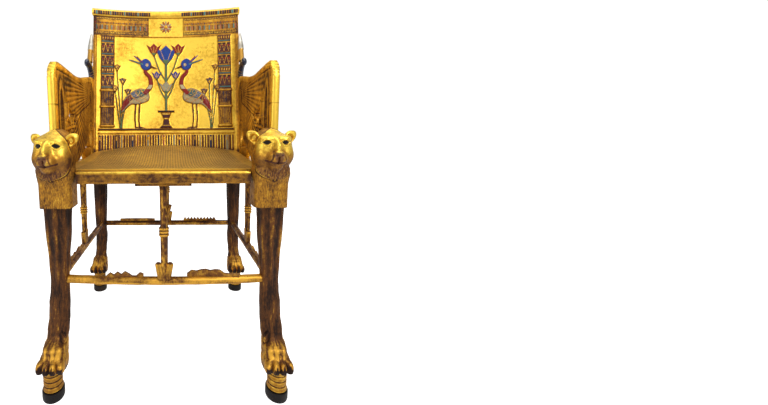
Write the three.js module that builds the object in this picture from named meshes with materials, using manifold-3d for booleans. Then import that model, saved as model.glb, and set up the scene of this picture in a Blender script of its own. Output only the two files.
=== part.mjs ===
import * as THREE from "three";
import { mergeVertices } from "three/addons/utils/BufferGeometryUtils.js";
import Module from "manifold-3d";

const wasm = await Module();
wasm.setup();

// Driving sizes in mm. X runs across the seat, -Y is the front, +Z is up.
const overallHeight = 1040;
const seatTop = 516;
const halfWidth = 270; // outer faces of the side rails and arms
const joint = 0.3; // clearance at every joint between pieces
const backSag = 38; // how far the middle of the back stands behind its ends
const backRadiusX = 270; // half span over which the back curves

const rail = { side: 34, sideHeight: 52, frontY: -262, rearY: 212, frontHeight: 26, frontDepth: 34 };
const strip = { half: 60, y0: -288, y1: -270, height: 6 };
const seat = { thickness: 17, dish: 6, riseSide: 18, riseMiddle: 36, riseFrom: -150 };
const panel = { half: 256, footY: 100, lean: 92, thick: 22, run: 514, top: 1011.7 };
const stile = { width: 34, front: 186, rear: 210, lean: 12, top: 914.7, centreHalf: 18 };
const frieze = { bottom: 915, band: 32, rear: 224, reeds: 23, half: 256 };
const topRail = { half: 260, y0: 183, y1: 232, bottom: 1012 };
const arm = { frontY: -222, inner: 246, outer: 264, webInner: 249, webOuter: 261 };
const leg = {
  frontX: 238, frontFootX: 254, frontY: -250, rearX: 246, rearFootX: 258, rearY: 183,
  sides: 10, flute: 0.06, fluteTop: 330, fluteEnd: 230,
};
const foot = { drumR: 22, drumTop: 73, capR: 24.5, capTop: 22, frontY: -290, rearY: 172, ribs: 2 };
const stretcher = { z: 258, r: 9.5, bow: 12, frontY: -246, rearY: 185, sideX: 245 };
const lion = { x: 224, y: -286, bottom: 441, tall: 1.05, sides: 18 };
const cobra = { height: 188, discR: 36, discThick: 14, y: 173, xs: [71, 174], sideScale: 0.64 };

const bow = (x) => backSag * (1 - (x / backRadiusX) ** 2);
const panelFront = (z) => panel.footY + (panel.lean * (z - seatTop)) / panel.run;
const sill = seatTop + joint;
const panelRear = (z) => panelFront(z) + panel.thick;

// A closed geometry from points and triangles, turned so that its faces look outward.
function closed(points, faces) {
  let volume = 0;
  const [a, b, c] = [0, 0, 0].map(() => new THREE.Vector3());
  for (const [i, j, k] of faces)
    volume += a.copy(points[i]).dot(b.copy(points[j]).cross(c.copy(points[k])));
  const geometry = new THREE.BufferGeometry().setFromPoints(points);
  geometry.setIndex(faces.flatMap(([i, j, k]) => (volume < 0 ? [i, k, j] : [i, j, k])));
  return geometry;
}

// Rings of equal length joined in turn, with a fan over each end.
function loft(rings) {
  const n = rings[0].length;
  const points = rings.flat();
  const faces = [];
  for (let r = 0; r + 1 < rings.length; r++)
    for (let i = 0; i < n; i++) {
      const j = (i + 1) % n;
      const [p, q] = [r * n, (r + 1) * n];
      faces.push([p + i, p + j, q + j], [p + i, q + j, q + i]);
    }
  for (const [ring, start, flip] of [[rings[0], 0, true], [rings.at(-1), (rings.length - 1) * n, false]]) {
    const middle = ring.reduce((s, p) => s.add(p), new THREE.Vector3()).divideScalar(n);
    const hub = points.push(middle) - 1;
    for (let i = 0; i < n; i++) {
      const [u, v] = [start + i, start + ((i + 1) % n)];
      faces.push(flip ? [u, hub, v] : [u, v, hub]);
    }
  }
  return closed(points, faces);
}

// An oval ring in a level plane, squarer as the power grows, with optional flutes.
function oval(cx, cy, z, hx, hy, n, power = 2, flute = 0) {
  return Array.from({ length: n }, (_, i) => {
    const t = (2 * Math.PI * (i + 0.5)) / n;
    const [c, s] = [Math.cos(t), Math.sin(t)];
    const r = (Math.abs(c) ** power + Math.abs(s) ** power) ** (-1 / power);
    const k = r * (1 - flute * (i % 2));
    return new THREE.Vector3(cx + hx * c * k, cy + hy * s * k, z);
  });
}

// Rows of [z, values...] read as smooth curves at any height.
function reader(rows) {
  const curves = rows[0].slice(1).map((_, k) => (z) => {
    let i = rows.findIndex((row) => row[0] >= z);
    if (i < 0) return rows.at(-1)[k + 1];
    if (i === 0) return rows[0][k + 1];
    const t = (z - rows[i - 1][0]) / (rows[i][0] - rows[i - 1][0]);
    const s = t * t * (3 - 2 * t);
    return rows[i - 1][k + 1] * (1 - s) + rows[i][k + 1] * s;
  });
  return (z) => curves.map((f) => f(z));
}

const steps = (from, to, n) => Array.from({ length: n + 1 }, (_, i) => from + ((to - from) * i) / n);

function solid(geometry) {
  const g = geometry.index ? geometry.toNonIndexed() : geometry.clone();
  g.deleteAttribute("normal");
  g.deleteAttribute("uv");
  const merged = mergeVertices(g, 1e-4);
  return new wasm.Manifold(
    new wasm.Mesh({
      numProp: 3,
      vertProperties: merged.attributes.position.array,
      triVerts: new Uint32Array(merged.index.array),
    }),
  );
}

function surface(manifold) {
  const { vertProperties, triVerts } = manifold.getMesh();
  const g = new THREE.BufferGeometry();
  g.setAttribute("position", new THREE.BufferAttribute(Float32Array.from(vertProperties), 3));
  g.setIndex(Array.from(triVerts));
  return g;
}

const join = (list) => list.map(solid).reduce((a, b) => a.add(b));
const cut = (body, list) => list.map(solid).reduce((a, b) => a.subtract(b), body);
const mirrored = (geometry) => {
  const g = geometry.index ? geometry.toNonIndexed() : geometry.clone();
  g.applyMatrix4(new THREE.Matrix4().makeScale(-1, 1, 1));
  const p = g.attributes.position;
  for (let i = 0; i < p.count; i += 3)
    for (let k = 0; k < 3; k++) {
      const held = p.getComponent(i + 1, k);
      p.setComponent(i + 1, k, p.getComponent(i + 2, k));
      p.setComponent(i + 2, k, held);
    }
  return g;
};

function block(x0, x1, y0, y1, z0, z1) {
  const g = new THREE.BoxGeometry(x1 - x0, y1 - y0, z1 - z0);
  return g.translate((x0 + x1) / 2, (y0 + y1) / 2, (z0 + z1) / 2);
}

function egg(x, y, z, rx, ry, rz, wide = 10, high = 7) {
  return new THREE.SphereGeometry(1, wide, high).scale(rx, ry, rz).translate(x, y, z);
}

const outline = (points) => new THREE.Shape(points.map(([a, b]) => new THREE.Vector2(a, b)));
const smoothOutline = (points, n) => {
  const curve = new THREE.CatmullRomCurve3(points.map(([a, b]) => new THREE.Vector3(a, b, 0)), true, "centripetal");
  return new THREE.Shape(curve.getPoints(n).slice(0, -1).map((p) => new THREE.Vector2(p.x, p.y)));
};
const extrude = (shape, depth, segments = 6) =>
  new THREE.ExtrudeGeometry(shape, { depth, bevelEnabled: false, curveSegments: segments });

// A shape drawn in Y and Z, given its thickness across the seat.
const sidePlate = (shape, x0, x1, segments) =>
  extrude(shape, x1 - x0, segments)
    .applyMatrix4(new THREE.Matrix4().makeBasis(
      new THREE.Vector3(0, 1, 0), new THREE.Vector3(0, 0, 1), new THREE.Vector3(1, 0, 0)))
    .translate(x0, 0, 0);

// A shape drawn in plan, given its height.
const planPlate = (shape, z0, z1) => extrude(shape, z1 - z0).translate(0, 0, z0);

// A band of even width along a smooth line.
function ribbon(points, width, n) {
  const curve = new THREE.CatmullRomCurve3(points.map(([a, b]) => new THREE.Vector3(a, b, 0)), false, "centripetal");
  const edge = (sign) => steps(0, 1, n).map((t) => {
    const [p, d] = [curve.getPoint(t), curve.getTangent(t)];
    return [p.x - sign * d.y * width / 2, p.y + sign * d.x * width / 2];
  });
  return outline([...edge(1), ...edge(-1).reverse()]);
}

const gold = new THREE.MeshStandardMaterial({ name: "gilding", color: 0xb98a3c, metalness: 0.8, roughness: 0.4 });
const brown = new THREE.MeshStandardMaterial({ name: "worn_gilding", color: 0x6b4526, metalness: 0.3, roughness: 0.6 });
const inlay = new THREE.MeshStandardMaterial({ name: "inlaid_gilding", color: 0xa07a45, metalness: 0.5, roughness: 0.5 });
const black = new THREE.MeshStandardMaterial({ name: "black_bronze", color: 0x1d1a18, metalness: 0.5, roughness: 0.5 });
const silver = new THREE.MeshStandardMaterial({ name: "pale_silver", color: 0xcfc7b4, metalness: 0.6, roughness: 0.4 });
const blue = new THREE.MeshStandardMaterial({ name: "blue_glaze", color: 0x22304f, metalness: 0.1, roughness: 0.35 });

const throne = new THREE.Group();
throne.name = "throne";
function add(name, shape, material) {
  const geometry = shape.getMesh ? surface(shape) : shape;
  const mesh = new THREE.Mesh(geometry, material);
  mesh.name = name;
  throne.add(mesh);
}
// A piece and its twin on the other side.
function addPair(name, shape, material) {
  const geometry = shape.getMesh ? surface(shape) : shape;
  add(`${name}_left`, geometry, material);
  add(`${name}_right`, mirrored(geometry), material);
}

// Seat frame: straight side rails, a thin front rail, a rear rail bowed in plan.
const arcAcross = (half, offset, n) => steps(-half, half, n).map((x) => [x, offset + bow(x)]);
const railBottom = seatTop - rail.sideHeight;
const railInner = halfWidth - rail.side;
const sideRail = planPlate(
  outline([
    [railInner, rail.frontY], [halfWidth, rail.frontY],
    [halfWidth, rail.rearY + bow(halfWidth)], [railInner, rail.rearY + bow(railInner)],
  ]),
  railBottom + 6, seatTop);
const sideMould = planPlate(
  outline([
    [railInner + 4, rail.frontY], [halfWidth - 4, rail.frontY],
    [halfWidth - 4, rail.rearY - 4 + bow(halfWidth)], [railInner + 4, rail.rearY - 4 + bow(railInner)],
  ]),
  railBottom, seatTop - 6);
addPair("side_rail", join([sideRail, sideMould]), gold);

const frontEnd = lion.x - 42;
const frontFace = rail.frontY - rail.frontDepth;
const frontBottom = seatTop - rail.frontHeight;
add("front_rail", sidePlate(outline([
  [rail.frontY - joint, frontBottom], [rail.frontY - joint, seatTop],
  [frontFace + 5, seatTop], [frontFace + 1.5, seatTop - 1.5], [frontFace, seatTop - 5],
  [frontFace, frontBottom + 4], [frontFace + 4, frontBottom],
]), -frontEnd, frontEnd), gold);
add("rail_strip", block(-strip.half, strip.half, strip.y0, strip.y1,
  frontBottom - joint - strip.height, frontBottom - joint), gold);

const railPlan = (grow) => outline([
  ...arcAcross(railInner - joint, rail.rearY + grow, 8),
  ...arcAcross(railInner - joint, rail.rearY - rail.side, 8).reverse(),
]);
add("rear_rail", join([
  planPlate(railPlan(0), railBottom + 6, seatTop),
  planPlate(railPlan(-4), railBottom, seatTop - 6),
]), gold);

// Seat: a board hollowed where one sits, rising in an arch toward the back, with a low ledge under the back itself.
{
  const half = railInner - joint;
  const across = 8;
  const rows = [0, 0.25, 0.5, 0.75, 1]; // shares of the way from the front rail to the foot of the back
  const top = (x, y, stop) => {
    const t = THREE.MathUtils.smoothstep(y, seat.riseFrom, stop);
    const arch = seat.riseSide + (seat.riseMiddle - seat.riseSide) * (1 - (x / half) ** 2);
    const hollow = Math.max(0, 1 - (x / 205) ** 2) * Math.max(0, 1 - ((y + 110) / 130) ** 2);
    return seatTop + arch * t - seat.dish * hollow;
  };
  const rings = steps(-half, half, across).map((x) => {
    const start = rail.frontY + joint;
    const stop = panelFront(sill) + bow(x) - 4;
    const end = rail.rearY - rail.side - joint + bow(x);
    const upper = rows.map((t) => start + (stop - start) * t).map((y) => [y, top(x, y, stop)]);
    const lower = seatTop - seat.thickness;
    const ring = [...upper, [stop + 0.5, seatTop], [end, seatTop], [end, lower], [stop, lower], [start, lower]];
    return ring.map(([y, z]) => new THREE.Vector3(x, y, z));
  });
  add("seat", loft(rings), gold);
}

// Legs: oval sections set by height, fluted above the knee, ending in a lion's paw.
// Columns: height, middle X (before the side's offset), middle Y, half width, half depth.
const forelegRows = [
  [100, 15, -14, 23, 19], [120, 14, -13, 22, 16], [140, 12.5, -9, 21, 15], [172, 10, -3, 20, 16], [205, 8.5, 0, 21, 19.5],
  [235, 7, 4, 20, 17.5], [262, 6, 5, 20.5, 18], [310, 4, 3, 23, 21], [380, 1.5, 0, 27, 28], [464, 0, -1, 29, 32],
];
const hindlegRows = [
  [100, 12, 6, 22, 17], [130, 9.5, 6, 20.5, 14], [160, 7, 8, 20, 14.5], [190, 5, 9, 21, 18.5], [208, 4, 8, 21, 19],
  [238, 2.5, -2, 19.5, 17], [265, 2, -6, 20, 18.5], [310, 1.5, -5, 21.5, 22], [380, 1, -2, 23, 28], [464, 0, 1, 24.5, 34],
];
function legShape(front, grow = 0) {
  const read = reader(front ? forelegRows : hindlegRows);
  const [x, y] = front ? [leg.frontX, leg.frontY] : [leg.rearX, leg.rearY];
  const zs = [100, 130, 162, 190, 210, 238, 275, 325, 395, railBottom - joint];
  const rings = zs.map((z) => {
    const [cx, cy, hx, hy] = read(z);
    const fade = THREE.MathUtils.clamp((z - leg.fluteEnd) / (leg.fluteTop - leg.fluteEnd), 0, 1);
    return oval(x + cx, y + cy, z, hx + grow, hy + grow, leg.sides, 2.6, leg.flute * fade);
  });
  return loft(rings);
}
function pawShape(front) {
  const [x, y] = front ? [leg.frontFootX, foot.frontY] : [leg.rearFootX, foot.rearY];
  const base = foot.drumTop + joint;
  const rows = [[base, 29, 24, 0], [base + 16, 30.5, 27, 0], [base + 40, 25, 21, 6], [base + 58, 20, 14, 13]];
  const body = loft(rows.map(([z, hx, hy, back]) => oval(x, y + back, z, hx, hy, 10, 2.8)));
  const toes = [-1.5, -0.5, 0.5, 1.5].map((k) =>
    egg(x + k * 15.4, y - 26 + Math.abs(k) * 3, base + 14, 8.6, 14, 14.5, 6, 4));
  return cut(join([body, ...toes]), [block(x - 60, x + 60, y - 80, y + 80, base - 40, base)]);
}

// Lion: a head over a block of mane, traced ring by ring from blended rounded forms.
const blend = (a, b, k) => {
  const h = Math.max(k - Math.abs(a - b), 0) / k;
  return Math.min(a, b) - h * h * k * 0.25;
};
const ball = (p, c, r) => {
  const [x, y, z] = [0, 1, 2].map((i) => p[i] - c[i]);
  const k0 = Math.hypot(x / r[0], y / r[1], z / r[2]);
  const k1 = Math.hypot(x / r[0] ** 2, y / r[1] ** 2, z / r[2] ** 2);
  return k1 > 0 ? (k0 * (k0 - 1)) / k1 : -Math.min(...r);
};
const bar = (p, c, h, round) => {
  const q = [0, 1, 2].map((i) => Math.abs(p[i] - c[i]) - h[i] + round);
  return Math.hypot(...q.map((v) => Math.max(v, 0))) + Math.min(Math.max(...q), 0) - round;
};
// p is across, forward and up from the foot of the mane.
function lionField(p) {
  const s = [Math.abs(p[0]), p[1], p[2]];
  let d = bar(p, [0, -3, 28], [36, 27, 48], 13); // hanging mane
  d = blend(d, ball(p, [0, 3, 70], [40.5, 35, 25]), 14); // ruff under the jaw
  d = blend(d, ball(p, [0, -14, 110], [39, 47, 47]), 12); // skull
  d = blend(d, ball(s, [20, 22, 98], [20, 19, 21]), 12); // cheeks
  d = blend(d, ball(p, [0, 37, 94], [19, 20, 14]), 10); // muzzle
  d = blend(d, ball(p, [0, 36, 80], [14, 13, 8]), 6); // chin
  d = blend(d, ball(p, [0, 34, 118], [10, 21, 19]), 9); // bridge of the nose
  d = blend(d, ball(p, [0, 54, 104], [9, 5.5, 5]), 4); // nose tip
  d = blend(d, ball(s, [16, 25, 131], [12, 9, 6]), 6); // brow
  return d;
}
function lionShape() {
  const zs = [0, 40, 56, 67, 75, 82, 91, 98, 106, 116, 126, 138, 149, 156];
  const rings = zs.map((z) =>
    Array.from({ length: lion.sides }, (_, i) => {
      const t = (2 * Math.PI * i) / lion.sides;
      const [c, s] = [Math.cos(t), Math.sin(t)];
      let r = 95;
      for (let k = 0; k < 60; k++) {
        const d = lionField([r * c, r * s, z]);
        if (d < 0.02 || r < 1) break;
        r -= d * 0.8;
      }
      r = Math.max(r, 1);
      return new THREE.Vector3(lion.x + r * c, lion.y - r * s, lion.bottom + z * lion.tall);
    }));
  const ears = [-1, 1].map((side) => {
    const ear = new THREE.SphereGeometry(1, 8, 6).scale(13, 6.5, 13.5);
    const hollow = new THREE.SphereGeometry(1, 6, 4).scale(8.5, 6, 9).translate(0, -6.5, 0);
    return surface(cut(solid(ear), [hollow]))
      .rotateZ(side * -0.35)
      .translate(lion.x + side * 34, lion.y - 6, lion.bottom + 131 * lion.tall);
  });
  const over = block(lion.x - 80, lion.x + 80, rail.frontY - joint, -100, 300, seatTop + joint);
  const behind = block(lion.x - 80, lion.x + 80, arm.frontY - 0.5, -100, 300, 700);
  return cut(join([loft(rings), ...ears]), [over, behind]);
}
const lionBody = lionShape();
addPair("lion_head", lionBody, gold);

const forelegRoom = block(lion.x - 70, lion.x + 70, -400, rail.frontY, lion.bottom - joint, 700);
const foreleg = cut(join([legShape(true)]).add(pawShape(true)), [forelegRoom]);
const hindleg = join([legShape(false)]).add(pawShape(false));
addPair("foreleg", foreleg, brown);
addPair("hindleg", hindleg, brown);

// Feet: a gilded drum with raised bands over a dark metal cap.
for (const [place, x, y] of [["front", leg.frontFootX, foot.frontY], ["rear", leg.rearFootX, foot.rearY]]) {
  const low = foot.capTop + joint;
  const tall = foot.drumTop - low;
  const profile = [[0, low]];
  for (let k = 0; k < foot.ribs; k++) {
    const z = low + (tall * k) / foot.ribs;
    profile.push([foot.drumR, z], [foot.drumR, z + tall * 0.2], [foot.drumR - 2, z + tall * 0.26]);
  }
  profile.push([foot.drumR - 2, foot.drumTop], [0, foot.drumTop]);
  const turned = (rows) =>
    new THREE.LatheGeometry(rows.map(([r, z]) => new THREE.Vector2(r, z)), 12).rotateX(Math.PI / 2);
  addPair(`foot_drum_${place}`, turned(profile).translate(x, y, 0), gold);
  const cap = [[0, 0], [foot.capR - 2, 0], [foot.capR, 3], [foot.capR, foot.capTop], [0, foot.capTop]];
  addPair(`foot_cap_${place}`, turned(cap).translate(x, y, 0), black);
}

// Stretchers: round bars between the legs, the front one bowed forward.
function rod(points, radius, n) {
  const circle = new THREE.Shape().absarc(0, 0, radius, 0, 2 * Math.PI);
  const path = new THREE.CatmullRomCurve3(points.map((p) => new THREE.Vector3(...p)));
  return new THREE.ExtrudeGeometry(circle, { extrudePath: path, steps: n, curveSegments: 5, bevelEnabled: false });
}
const forelegClear = legShape(true, joint);
const hindlegClear = legShape(false, joint);
const barZ = stretcher.z;
const frontBar = (r) => rod([[-230, stretcher.frontY, barZ], [0, stretcher.frontY - stretcher.bow, barZ], [230, stretcher.frontY, barZ]], r, 6);
const rearBar = (r) => rod([[-236, stretcher.rearY - 6, barZ], [0, stretcher.rearY - 6, barZ], [236, stretcher.rearY - 6, barZ]], r, 2);
const sideBar = (r) => rod([[stretcher.sideX, -246, barZ], [stretcher.sideX, 0, barZ], [stretcher.sideX, 172, barZ]], r, 2);
add("stretcher_front", cut(solid(frontBar(stretcher.r)), [forelegClear, mirrored(forelegClear)]), brown);
add("stretcher_rear", cut(solid(rearBar(stretcher.r)), [hindlegClear, mirrored(hindlegClear)]), brown);
addPair("stretcher", cut(solid(sideBar(stretcher.r)), [forelegClear, hindlegClear]), brown);

// Stems: upright plant stalks from stretcher to rail, bound at mid height, with a pair of leaves at the foot.
function stemShape(x, y, top, clearBar, turnSide) {
  const low = barZ + 2;
  const mid = low + (top - low) * 0.52;
  const stalk = loft([[low, 8], [low + 40, 8.5], [mid, 9], [top - 12, 10], [top, 11]].map(([z, r]) => oval(0, 0, z, r, r, 8)));
  const tie = block(-12, 12, -11, 11, mid - 11, mid + 11);
  const leaves = [-1, 1].map((side) =>
    extrude(outline([[0, 0], [9, 0], [12, 14], [21, 38], [8, 36], [0, 20]].map(([a, b]) => [side * a, b])), 14)
      .rotateX(Math.PI / 2).translate(0, 7, low + 4));
  const body = join([stalk, tie, ...leaves]);
  const whole = surface(body);
  if (turnSide) whole.rotateZ(Math.PI / 2);
  return cut(solid(whole.translate(x, y, 0)), [clearBar]);
}
const clearR = stretcher.r + joint;
add("stem_front", stemShape(0, -262, frontBottom - 2 * joint - strip.height, frontBar(clearR), false), brown);
add("stem_rear", stemShape(0, stretcher.rearY - 6, seatTop - seat.thickness - joint, rearBar(clearR), false), brown);
addPair("stem", stemShape(stretcher.sideX + 2, -36, railBottom - joint, sideBar(clearR), true), brown);

// Broken openwork: the stubs that are left standing on the bars, with jagged tops.
function stubShape(tops, x0, x1, y, clearBar) {
  const n = tops.length - 1;
  const points = [[x0, barZ], [x1, barZ], ...tops.map((h, i) => [x1 + ((x0 - x1) * i) / n, barZ + stretcher.r + h])];
  const plate = extrude(outline(points), 7).rotateX(Math.PI / 2).translate(0, y + 3.5, 0);
  return cut(solid(plate), [clearBar]);
}
add("stub_front_right", stubShape([6, 9, 1, 1, 7, 12, 5, 11, 4, 9, 2], -134, -48, stretcher.frontY - 9.5, frontBar(clearR)), brown);
add("stub_front_left", stubShape([4, 5, 5, 6, 14, 15, 13, 16, 15, 12, 14, 6], 52, 172, stretcher.frontY - 8.5, frontBar(clearR)), brown);
add("stub_rear_right", stubShape([7, 8, 8, 8, 8, 7], -176, -46, stretcher.rearY - 6, rearBar(clearR)), brown);
const comb = steps(0, 20, 20).map((i) => (i % 2 ? 13 : 4));
add("stub_rear_left", stubShape(comb, 62, 183, stretcher.rearY - 6, rearBar(clearR)), brown);
addPair("stub_side", cut(solid(sidePlate(outline([
  [-170, barZ], [-62, barZ], ...[2, 7, 3, 10, 8, 4, 9, 5, 8, 3].map((h, i) => [-62 - 12 * i, barZ + stretcher.r + h]),
]), stretcher.sideX - 3, stretcher.sideX + 3)), [sideBar(clearR)]), brown);


// Arms: a flat openwork board of two spread wings behind a framed front column, under a rounded top band.
const armPoint = ([a, b]) => [arm.frontY + a, sill + b];
const armBack = (b, gap) => panelFront(sill + b) + bow(arm.outer) - gap - arm.frontY;
const neckTop = 265.7; // where the cobra's head sits on the arm
const topLine = [[10, 150], [9, 205], [12, 226], [26, 237], [52, 238], [105, 234], [165, 230], [225, 236], [280, 248], [322, 256]];
const upperWing = [[62, 226], [160, 228], [250, 242], [322, 250], [330, 205], [300, 178], [250, 160], [200, 143], [150, 130], [112, 138], [86, 162], [66, 204]];
const lowerWing = [[322, 240], [352, 215], [338, 150], [298, 86], [235, 38], [165, 3], [126, 3], [80, 22], [60, 30], [60, 42], [120, 78], [180, 112], [240, 140], [296, 166]];
const rings = [[92, 96, 21, 27, 12, 17], [140, 104, 17, 22, 9, 13], [298, 74, 30, 46, 18, 33]];
function armShape() {
  const plate = (points, x0 = arm.webInner, x1 = arm.webOuter) => sidePlate(outline(points.map(armPoint)), x0, x1);
  const parts = [
    sidePlate(ribbon(topLine.map(armPoint), 17, 11), arm.inner, arm.outer),
    plate([[0, 0], [22, 0], [22, 212], [0, 205]], arm.inner, arm.outer), // front post
    plate([[18, 0], [68, 0], [68, 228], [18, 228]]), // column ground
    plate([[26, 0], [62, 0], [62, 26], [26, 26]], arm.inner, arm.outer), // column base
    plate(upperWing),
    plate(lowerWing),
    plate([[212, 0], [306, 0], [306, 34], [212, 34]].map(([a, b], i) => [a + (b ? 0 : i ? -22 : 22), b])), // basket
    plate([[62, 84], [150, 96], [150, 106], [62, 94]]), // bar that holds the rings
    plate([[88, 116], [98, 116], [98, 156], [88, 156]]),
    plate([[136, 120], [144, 120], [144, 136], [136, 136]]),
    plate([[86, 44], [96, 50], [96, 76], [86, 76]]),
    plate([[armBack(0, 15), 0], [armBack(0, 1), 0], [armBack(120, 1), 120], [armBack(neckTop, 1), neckTop], [armBack(neckTop, 30), neckTop], [330, 248], [armBack(110, 15), 110]]), // cobra's body
  ];
  for (const [a, b, ra, rb, ia, ib] of rings) {
    const loop = new THREE.Shape().absellipse(arm.frontY + a, sill + b, ra, rb, 0, 2 * Math.PI);
    loop.holes.push(new THREE.Path().absellipse(arm.frontY + a, sill + b, ia, ib, 0, 2 * Math.PI, true));
    parts.push(sidePlate(loop, arm.webInner, arm.webOuter, 5));
  }
  // A long cartouche frame on the column, and the shafts of the feathers on both faces.
  const frame = new THREE.Shape().absellipse(arm.frontY + 44, sill + 118, 18, 84, 0, 2 * Math.PI);
  frame.holes.push(new THREE.Path().absellipse(arm.frontY + 44, sill + 118, 12, 77, 0, 2 * Math.PI, true));
  parts.push(sidePlate(frame, arm.inner, arm.outer, 5));
  const feather = (from, to, w) => {
    const [dx, dy] = [to[0] - from[0], to[1] - from[1]];
    const l = Math.hypot(dx, dy);
    const [nx, ny] = [(-dy / l) * w, (dx / l) * w];
    return plate([[from[0] - nx / 2, from[1] - ny / 2], [to[0] - nx, to[1] - ny], [to[0] + nx, to[1] + ny], [from[0] + nx / 2, from[1] + ny / 2]],
      arm.webInner - 1.5, arm.webOuter + 1.5);
  };
  for (let k = 0; k < 3; k++) {
    const t = (k + 0.5) / 3;
    parts.push(feather([316, 238 - 46 * t], [90 + 88 * t ** 1.4, 210 - 64 * t], 2.6));
    parts.push(feather([330 - 8 * t, 226 - 62 * t], [236 - 156 * t, 46 - 9 * t], 2.6));
  }
  const body = join(parts);
  const clear = sidePlate(outline([
    [panelFront(sill - 20) + bow(arm.outer) - 4.6, sill - 20], [400, sill - 20], [400, 1100], [panelFront(1100) + bow(arm.outer) - 4.6, 1100],
  ]), arm.inner - 5, arm.outer + 5);
  return cut(body, [clear]);
}
addPair("arm", armShape(), inlay);

// Cobra head at the back of each arm, and the tall crown that leans from it to the back.
const headFoot = sill + neckTop + joint;
const snake = [[133, -4, 9, 12], [131, 12, 9, 14], [122, 28, 9, 15.5], [106, 39, 9, 15.5], [88, 42, 8.5, 14], [73, 38, 7, 9]];
const snakeX = (arm.inner + arm.outer) / 2;
const snakeRings = snake.map(([y, up, hx, hr], i) => {
  const t = 1.45 - (i / (snake.length - 1)) * 1.6;
  return Array.from({ length: 10 }, (_, k) => {
    const w = (2 * Math.PI * k) / 10;
    return new THREE.Vector3(snakeX + hx * Math.cos(w), y + hr * Math.sin(w) * Math.sin(t), headFoot + up + hr * Math.sin(w) * Math.cos(t));
  });
});
const headCut = block(200, 300, -50, 200, 600, headFoot);
const crownFoot = new THREE.Vector3(snakeX, 117, headFoot + 50);
const crownTilt = 0.36;
const crownRows = [[0, 0], [9, 0], [8.4, 42], [9.6, 46], [9.4, 60], [7, 82], [4.4, 100], [3, 108], [0, 110]];
const crown = new THREE.LatheGeometry(crownRows.map(([r, z]) => new THREE.Vector2(r, z)), 9)
  .rotateX(Math.PI / 2).rotateX(-crownTilt).translate(crownFoot.x, crownFoot.y, crownFoot.z);
const crownRoom = new THREE.LatheGeometry(crownRows.map(([r, z]) => new THREE.Vector2(r && r + joint, z - joint)), 9)
  .rotateX(Math.PI / 2).rotateX(-crownTilt).translate(crownFoot.x, crownFoot.y, crownFoot.z);
addPair("cobra_head", cut(solid(loft(snakeRings)), [headCut, crownRoom]), blue);
addPair("crown", crown, silver);

// Back: a leaning panel bowed in plan, with framed borders and a low inlaid design.
const onPanel = (geometry, sink = 1) => {
  const p = geometry.attributes.position;
  for (let i = 0; i < p.count; i++) {
    const [x, t, d] = [p.getX(i), p.getY(i), p.getZ(i)];
    const z = sill + t;
    p.setXYZ(i, x, panelFront(z) + bow(x) - d + sink, z);
  }
  return geometry;
};
const raised = (shape, height, segments = 4) => onPanel(extrude(shape, height + 1, segments));
function bowedBoard(half, n, front, rear, z0, z1, extraZ = []) {
  const zs = [z0, ...extraZ, z1];
  return loft(steps(-half, half, n).map((x) => [
    ...zs.map((z) => new THREE.Vector3(x, front(z, x), z)),
    ...[...zs].reverse().map((z) => new THREE.Vector3(x, rear(z, x), z)),
  ]));
}
const bandStrip = (half, t0, t1, height) => {
  const [z0, z1] = [sill + t0, sill + t1];
  return bowedBoard(half, 6, (z, x) => panelFront(z) + bow(x) - height, (z, x) => panelFront(z) + bow(x) + 2, z0, z1);
};
const pillar = (x, t0, t1, w, height) => raised(outline([[x - w / 2, t0], [x + w / 2, t0], [x + w / 2, t1], [x - w / 2, t1]]), height);
const panelBoard = bowedBoard(panel.half, 12, (z, x) => panelFront(z) + bow(x), (z, x) => panelRear(z) + bow(x), sill, panel.top);
const relief = [
  bandStrip(232, 88, 96, 3), bandStrip(232, 424, 432, 3), bandStrip(panel.half - 3, 486, 494, 3),
];
for (const side of [-1, 1]) {
  relief.push(pillar(side * (panel.half - 8), 4, 490, 10, 4));
  relief.push(pillar(side * 204, 96, 424, 40, 3));
  for (const t of [104, 190]) relief.push(pillar(side * 204, t, t + 8, 48, 5));
}
// Two wading birds on either side of a tall lotus bouquet on a stand.
for (const side of [-1, 1]) {
  const at = (points) => points.map(([a, b]) => [side * a, b]);
  relief.push(raised(smoothOutline(at([[62, 196], [92, 182], [126, 178], [152, 160], [146, 190], [122, 222], [90, 236], [66, 224]]), 10), 4)); // body and tail
  relief.push(raised(ribbon(at([[72, 222], [56, 246], [58, 274], [74, 292], [72, 312]]), 13, 4), 4)); // neck
  relief.push(raised(smoothOutline(at([[60, 308], [74, 302], [84, 312], [76, 326], [62, 322]]), 6), 4)); // head
  relief.push(raised(outline(at([[62, 312], [62, 320], [34, 304]])), 3)); // beak
  for (const a of [94, 108]) relief.push(raised(outline(at([[a - 3, 188], [a - 3, 72], [a + 3, 72], [a + 3, 188]])), 2)); // legs
}
relief.push(raised(outline([[-22, 66], [22, 66], [12, 84], [8, 120], [18, 146], [-18, 146], [-8, 120], [-12, 84]]), 4)); // stand
relief.push(raised(outline([[-5, 140], [5, 140], [5, 330], [-5, 330]]), 3)); // main stalk
for (const [x, t, s] of [[0, 318, 1.25], [-44, 352, 0.8], [44, 352, 0.8], [0, 214, 0.8]])
  relief.push(raised(outline([[0, 0], [18, 22], [34, 56], [16, 46], [0, 62], [-16, 46], [-34, 56], [-18, 22]].map(([a, b]) => [x + a * s, t + b * s])), 4));
for (const side of [-1, 1]) relief.push(raised(ribbon([[0, 262], [side * 22, 300], [side * 44, 358]], 6, 3), 3));
const reedsBehind = [];
for (const middle of [-123, 123])
  for (let k = -1; k <= 1; k++) {
    const x = middle + k * 52;
    const z0 = sill + 285 + 8 * (k & 1);
    reedsBehind.push(bowedStalk(x, z0, stile.top - 2 - sill, 4, 3));
  }
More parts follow.
